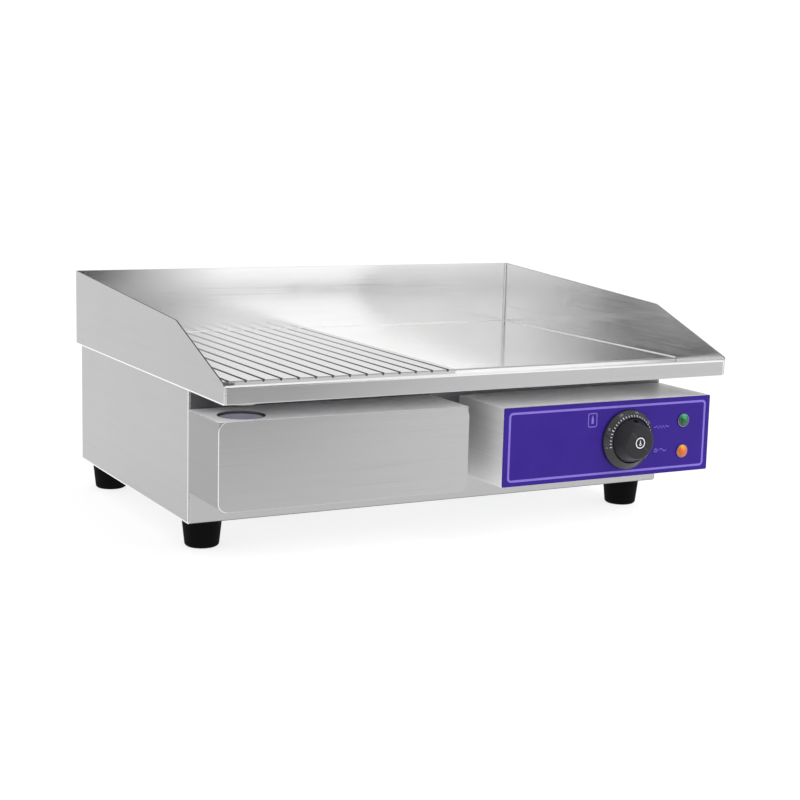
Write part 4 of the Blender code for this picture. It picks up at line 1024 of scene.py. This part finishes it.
def build_lamps():
    """Indicator lamps: a coloured lens with a flange, a step and a dome, in a slim bezel."""
    for lamp in ("heating_lamp", "power_lamp"):
        low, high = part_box(lamp + "_body")
        radius = (high.x - low.x) / 2
        centre = Vector(((low.x + high.x) / 2, PANEL_FACE, (low.z + high.z) / 2))
        barrel = 4.8 * MM
        bezel = filleted(
            [
                (0.0, 0.9 * MM), (radius - 0.7 * MM, 0.9 * MM), (radius - 0.5 * MM, 1.5 * MM),
                (radius, 1.2 * MM), (radius, 0.3 * MM), (barrel, 0.3 * MM),
                (barrel, PANEL_FACE - high.y), (0.0, PANEL_FACE - high.y),
            ],
            [0.0, 0.1, 0.2, 0.3, 0.1, 0.0, 0.3, 0.0], 4, closed=False)
        rim = add_piece(lamp + "_bezel", lathe(bezel, 64, centre, FRONTWARDS), lamp + "_body", smooth=TURNED)
        rim.data.materials.append(FINISHES["lamp_rim"])
        for face in rim.data.polygons:
            if face.center.y < PANEL_FACE - 0.35 * MM:
                face.material_index = 1
        lens = filleted(
            [
                (0.0, 4.0 * MM), (2.4 * MM, 3.75 * MM), (4.2 * MM, 2.6 * MM), (4.4 * MM, 1.9 * MM),
                (6.0 * MM, 1.7 * MM), (6.1 * MM, 1.0 * MM), (0.0, 1.0 * MM),
            ],
            [0.0, 3.0, 1.2, 0.2, 0.2, 0.0, 0.0], 5, closed=False)
        add_piece(lamp + "_lens_moulded", lathe(lens, 64, centre, FRONTWARDS), lamp + "_lens", smooth=60.0)


def build_feet():
    """Rubber feet with a rolled toe and a ring of relief under the top."""
    for node in [name for name in frame["nodes"] if name.startswith("foot_") and "screw" not in name]:
        low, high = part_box(node)
        centre = Vector(((low.x + high.x) / 2, (low.y + high.y) / 2, 0.0))
        top = (high.x - low.x) / 2
        toe = 16.2 * MM
        profile = filleted(
            [
                (top, high.z), (top - 0.1 * MM, high.z - 1.4 * MM), (toe + 0.35 * MM, 1.5 * MM),
                (toe - 2.0 * MM, 0.0), (7.0 * MM, 0.0), (7.0 * MM, 14.0 * MM), (2.9 * MM, 14.0 * MM),
                (2.9 * MM, high.z),
            ],
            [0.3, 0.5, 3.0, 2.0, 0.4, 0.2, 0.0, 0.0], 6)
        bm = lathe(profile + profile[:1], 96, centre)
        add_piece(node + "_moulded", bm, node, smooth=TURNED)


# ---------------------------------------------------------------- stage, lights and camera

WORLD_STRENGTH = 1.14
FLOOR_GLOW = 0.78            # the lit floor's own share of its brightness, which keeps shadows faint


def build_floor():
    """Plain pale floor."""
    made = Finish(
        "pale_floor", Specular_IOR_Level=0.0, Roughness=0.9, Emission_Strength=FLOOR_GLOW,
        Emission_Color=(1.0, 1.0, 1.0, 1.0))
    cloud = made.noise((1.5, 1.5, 1.5), 3.0)
    made.feed("Base Color", made.mix(cloud, (0.24, 0.24, 0.24), (0.26, 0.26, 0.26)))
    bm = bmesh.new()
    bmesh.ops.create_grid(bm, x_segments=4, y_segments=4, size=40.0)
    floor = link_mesh("floor", bm, made.material)


def build_card(name, corners, dark, fade):
    """Studio card that only reflections see.

    It turns from its own brightness to as bright as the room between two places along X.
    """
    made = Finish(
        name, Base_Color=(0.0, 0.0, 0.0, 1.0), Roughness=0.9, Specular_IOR_Level=0.0,
        Emission_Strength=WORLD_STRENGTH)
    made.feed("Emission Color", made.mix(
        made.remap(made.place_part("X"), *fade, 0.0, 1.0), (dark, dark, dark), (1.0, 1.0, 1.0)))
    bm = bmesh.new()
    bm.faces.new([bm.verts.new(corner) for corner in corners])
    card = link_mesh(name, bm, made.material)
    for kind in ("camera", "diffuse", "transmission", "volume_scatter", "shadow"):
        setattr(card, "visible_" + kind, False)


def build_flag(name, span, distance, height, fade=None):
    """Dark card, square to the front, between two places along X."""
    corners = [(span[0], 0.0), (span[1], 0.0), (span[1], height), (span[0], height)]
    build_card(
        name, [(x, -distance, z) for x, z in corners], 0.02, fade or (span[1] + 1.0, span[1] + 2.0))


def build_ceiling(name, half_width, height, brightness):
    """Card overhead, a little darker than the room, so that less of the level steel burns out."""
    corners = [(-1, -1), (1, -1), (1, 1), (-1, 1)]
    build_card(
        name, [(half_width * x, half_width * y, height) for x, y in corners], brightness,
        (half_width + 1.0, half_width + 2.0))


def build_light(name, place, target, size, power, reflected=True):
    """Square soft light aimed at a point."""
    light = bpy.data.lights.new(name, "AREA")
    light.shape = "SQUARE"
    light.size = size
    light.energy = power
    lamp = bpy.data.objects.new(name, light)
    bpy.context.scene.collection.objects.link(lamp)
    lamp.location = place
    direction = Vector(target) - Vector(place)
    lamp.rotation_mode = "QUATERNION"
    lamp.rotation_quaternion = direction.to_track_quat("-Z", "Y")
    lamp.visible_glossy = reflected


def build_world():
    """Even white surroundings."""
    world = bpy.data.worlds.new("studio")
    world.use_nodes = True
    background = world.node_tree.nodes["Background"]
    background.inputs["Color"].default_value = (1.0, 1.0, 1.0, 1.0)
    background.inputs["Strength"].default_value = WORLD_STRENGTH
    bpy.context.scene.world = world


def build_camera():
    """Camera at the photo's viewpoint."""
    forward = Vector((
        math.sin(CAMERA_AZIMUTH) * math.cos(CAMERA_DIP),
        math.cos(CAMERA_AZIMUTH) * math.cos(CAMERA_DIP),
        -math.sin(CAMERA_DIP)))
    data = bpy.data.cameras.new("camera")
    data.lens = CAMERA_LENS
    data.sensor_width = 36.0
    data.clip_start = 0.01
    camera = bpy.data.objects.new("camera", data)
    bpy.context.scene.collection.objects.link(camera)
    camera.location = CAMERA_PLACE
    camera.rotation_mode = "QUATERNION"
    level = (-forward).to_track_quat("Z", "Y")
    camera.rotation_quaternion = level @ Quaternion((0.0, 0.0, 1.0), CAMERA_ROLL)
    bpy.context.scene.camera = camera


# ---------------------------------------------------------------- the scene

build_camera()
paint_frame()
build_sheets()
build_seams()
build_drip_collar()
build_dial()
build_knob()
build_panel_print()
build_lamps()
build_feet()

build_floor()
build_world()
build_light("overhead_softbox", (0.2, -0.6, 2.2), (0.0, 0.0, 0.1), 2.2, 4.0)
build_light("key_softbox", (1.20, -1.48, 1.50), (0.1, -0.1, 0.1), 0.9, 13.0, False)
build_flag("front_flag", (-0.14, 0.39), 1.05, 0.75, (0.14, 0.39))
build_flag("left_flag", (-40.0, -13.8), 20.0, 16.0)
build_flag("rear_flag", (-40.0, -13.8), -20.0, 16.0)
build_ceiling("ceiling_card", 10.0, 3.2, 0.72)

bpy.context.scene.view_settings.view_transform = "Standard"
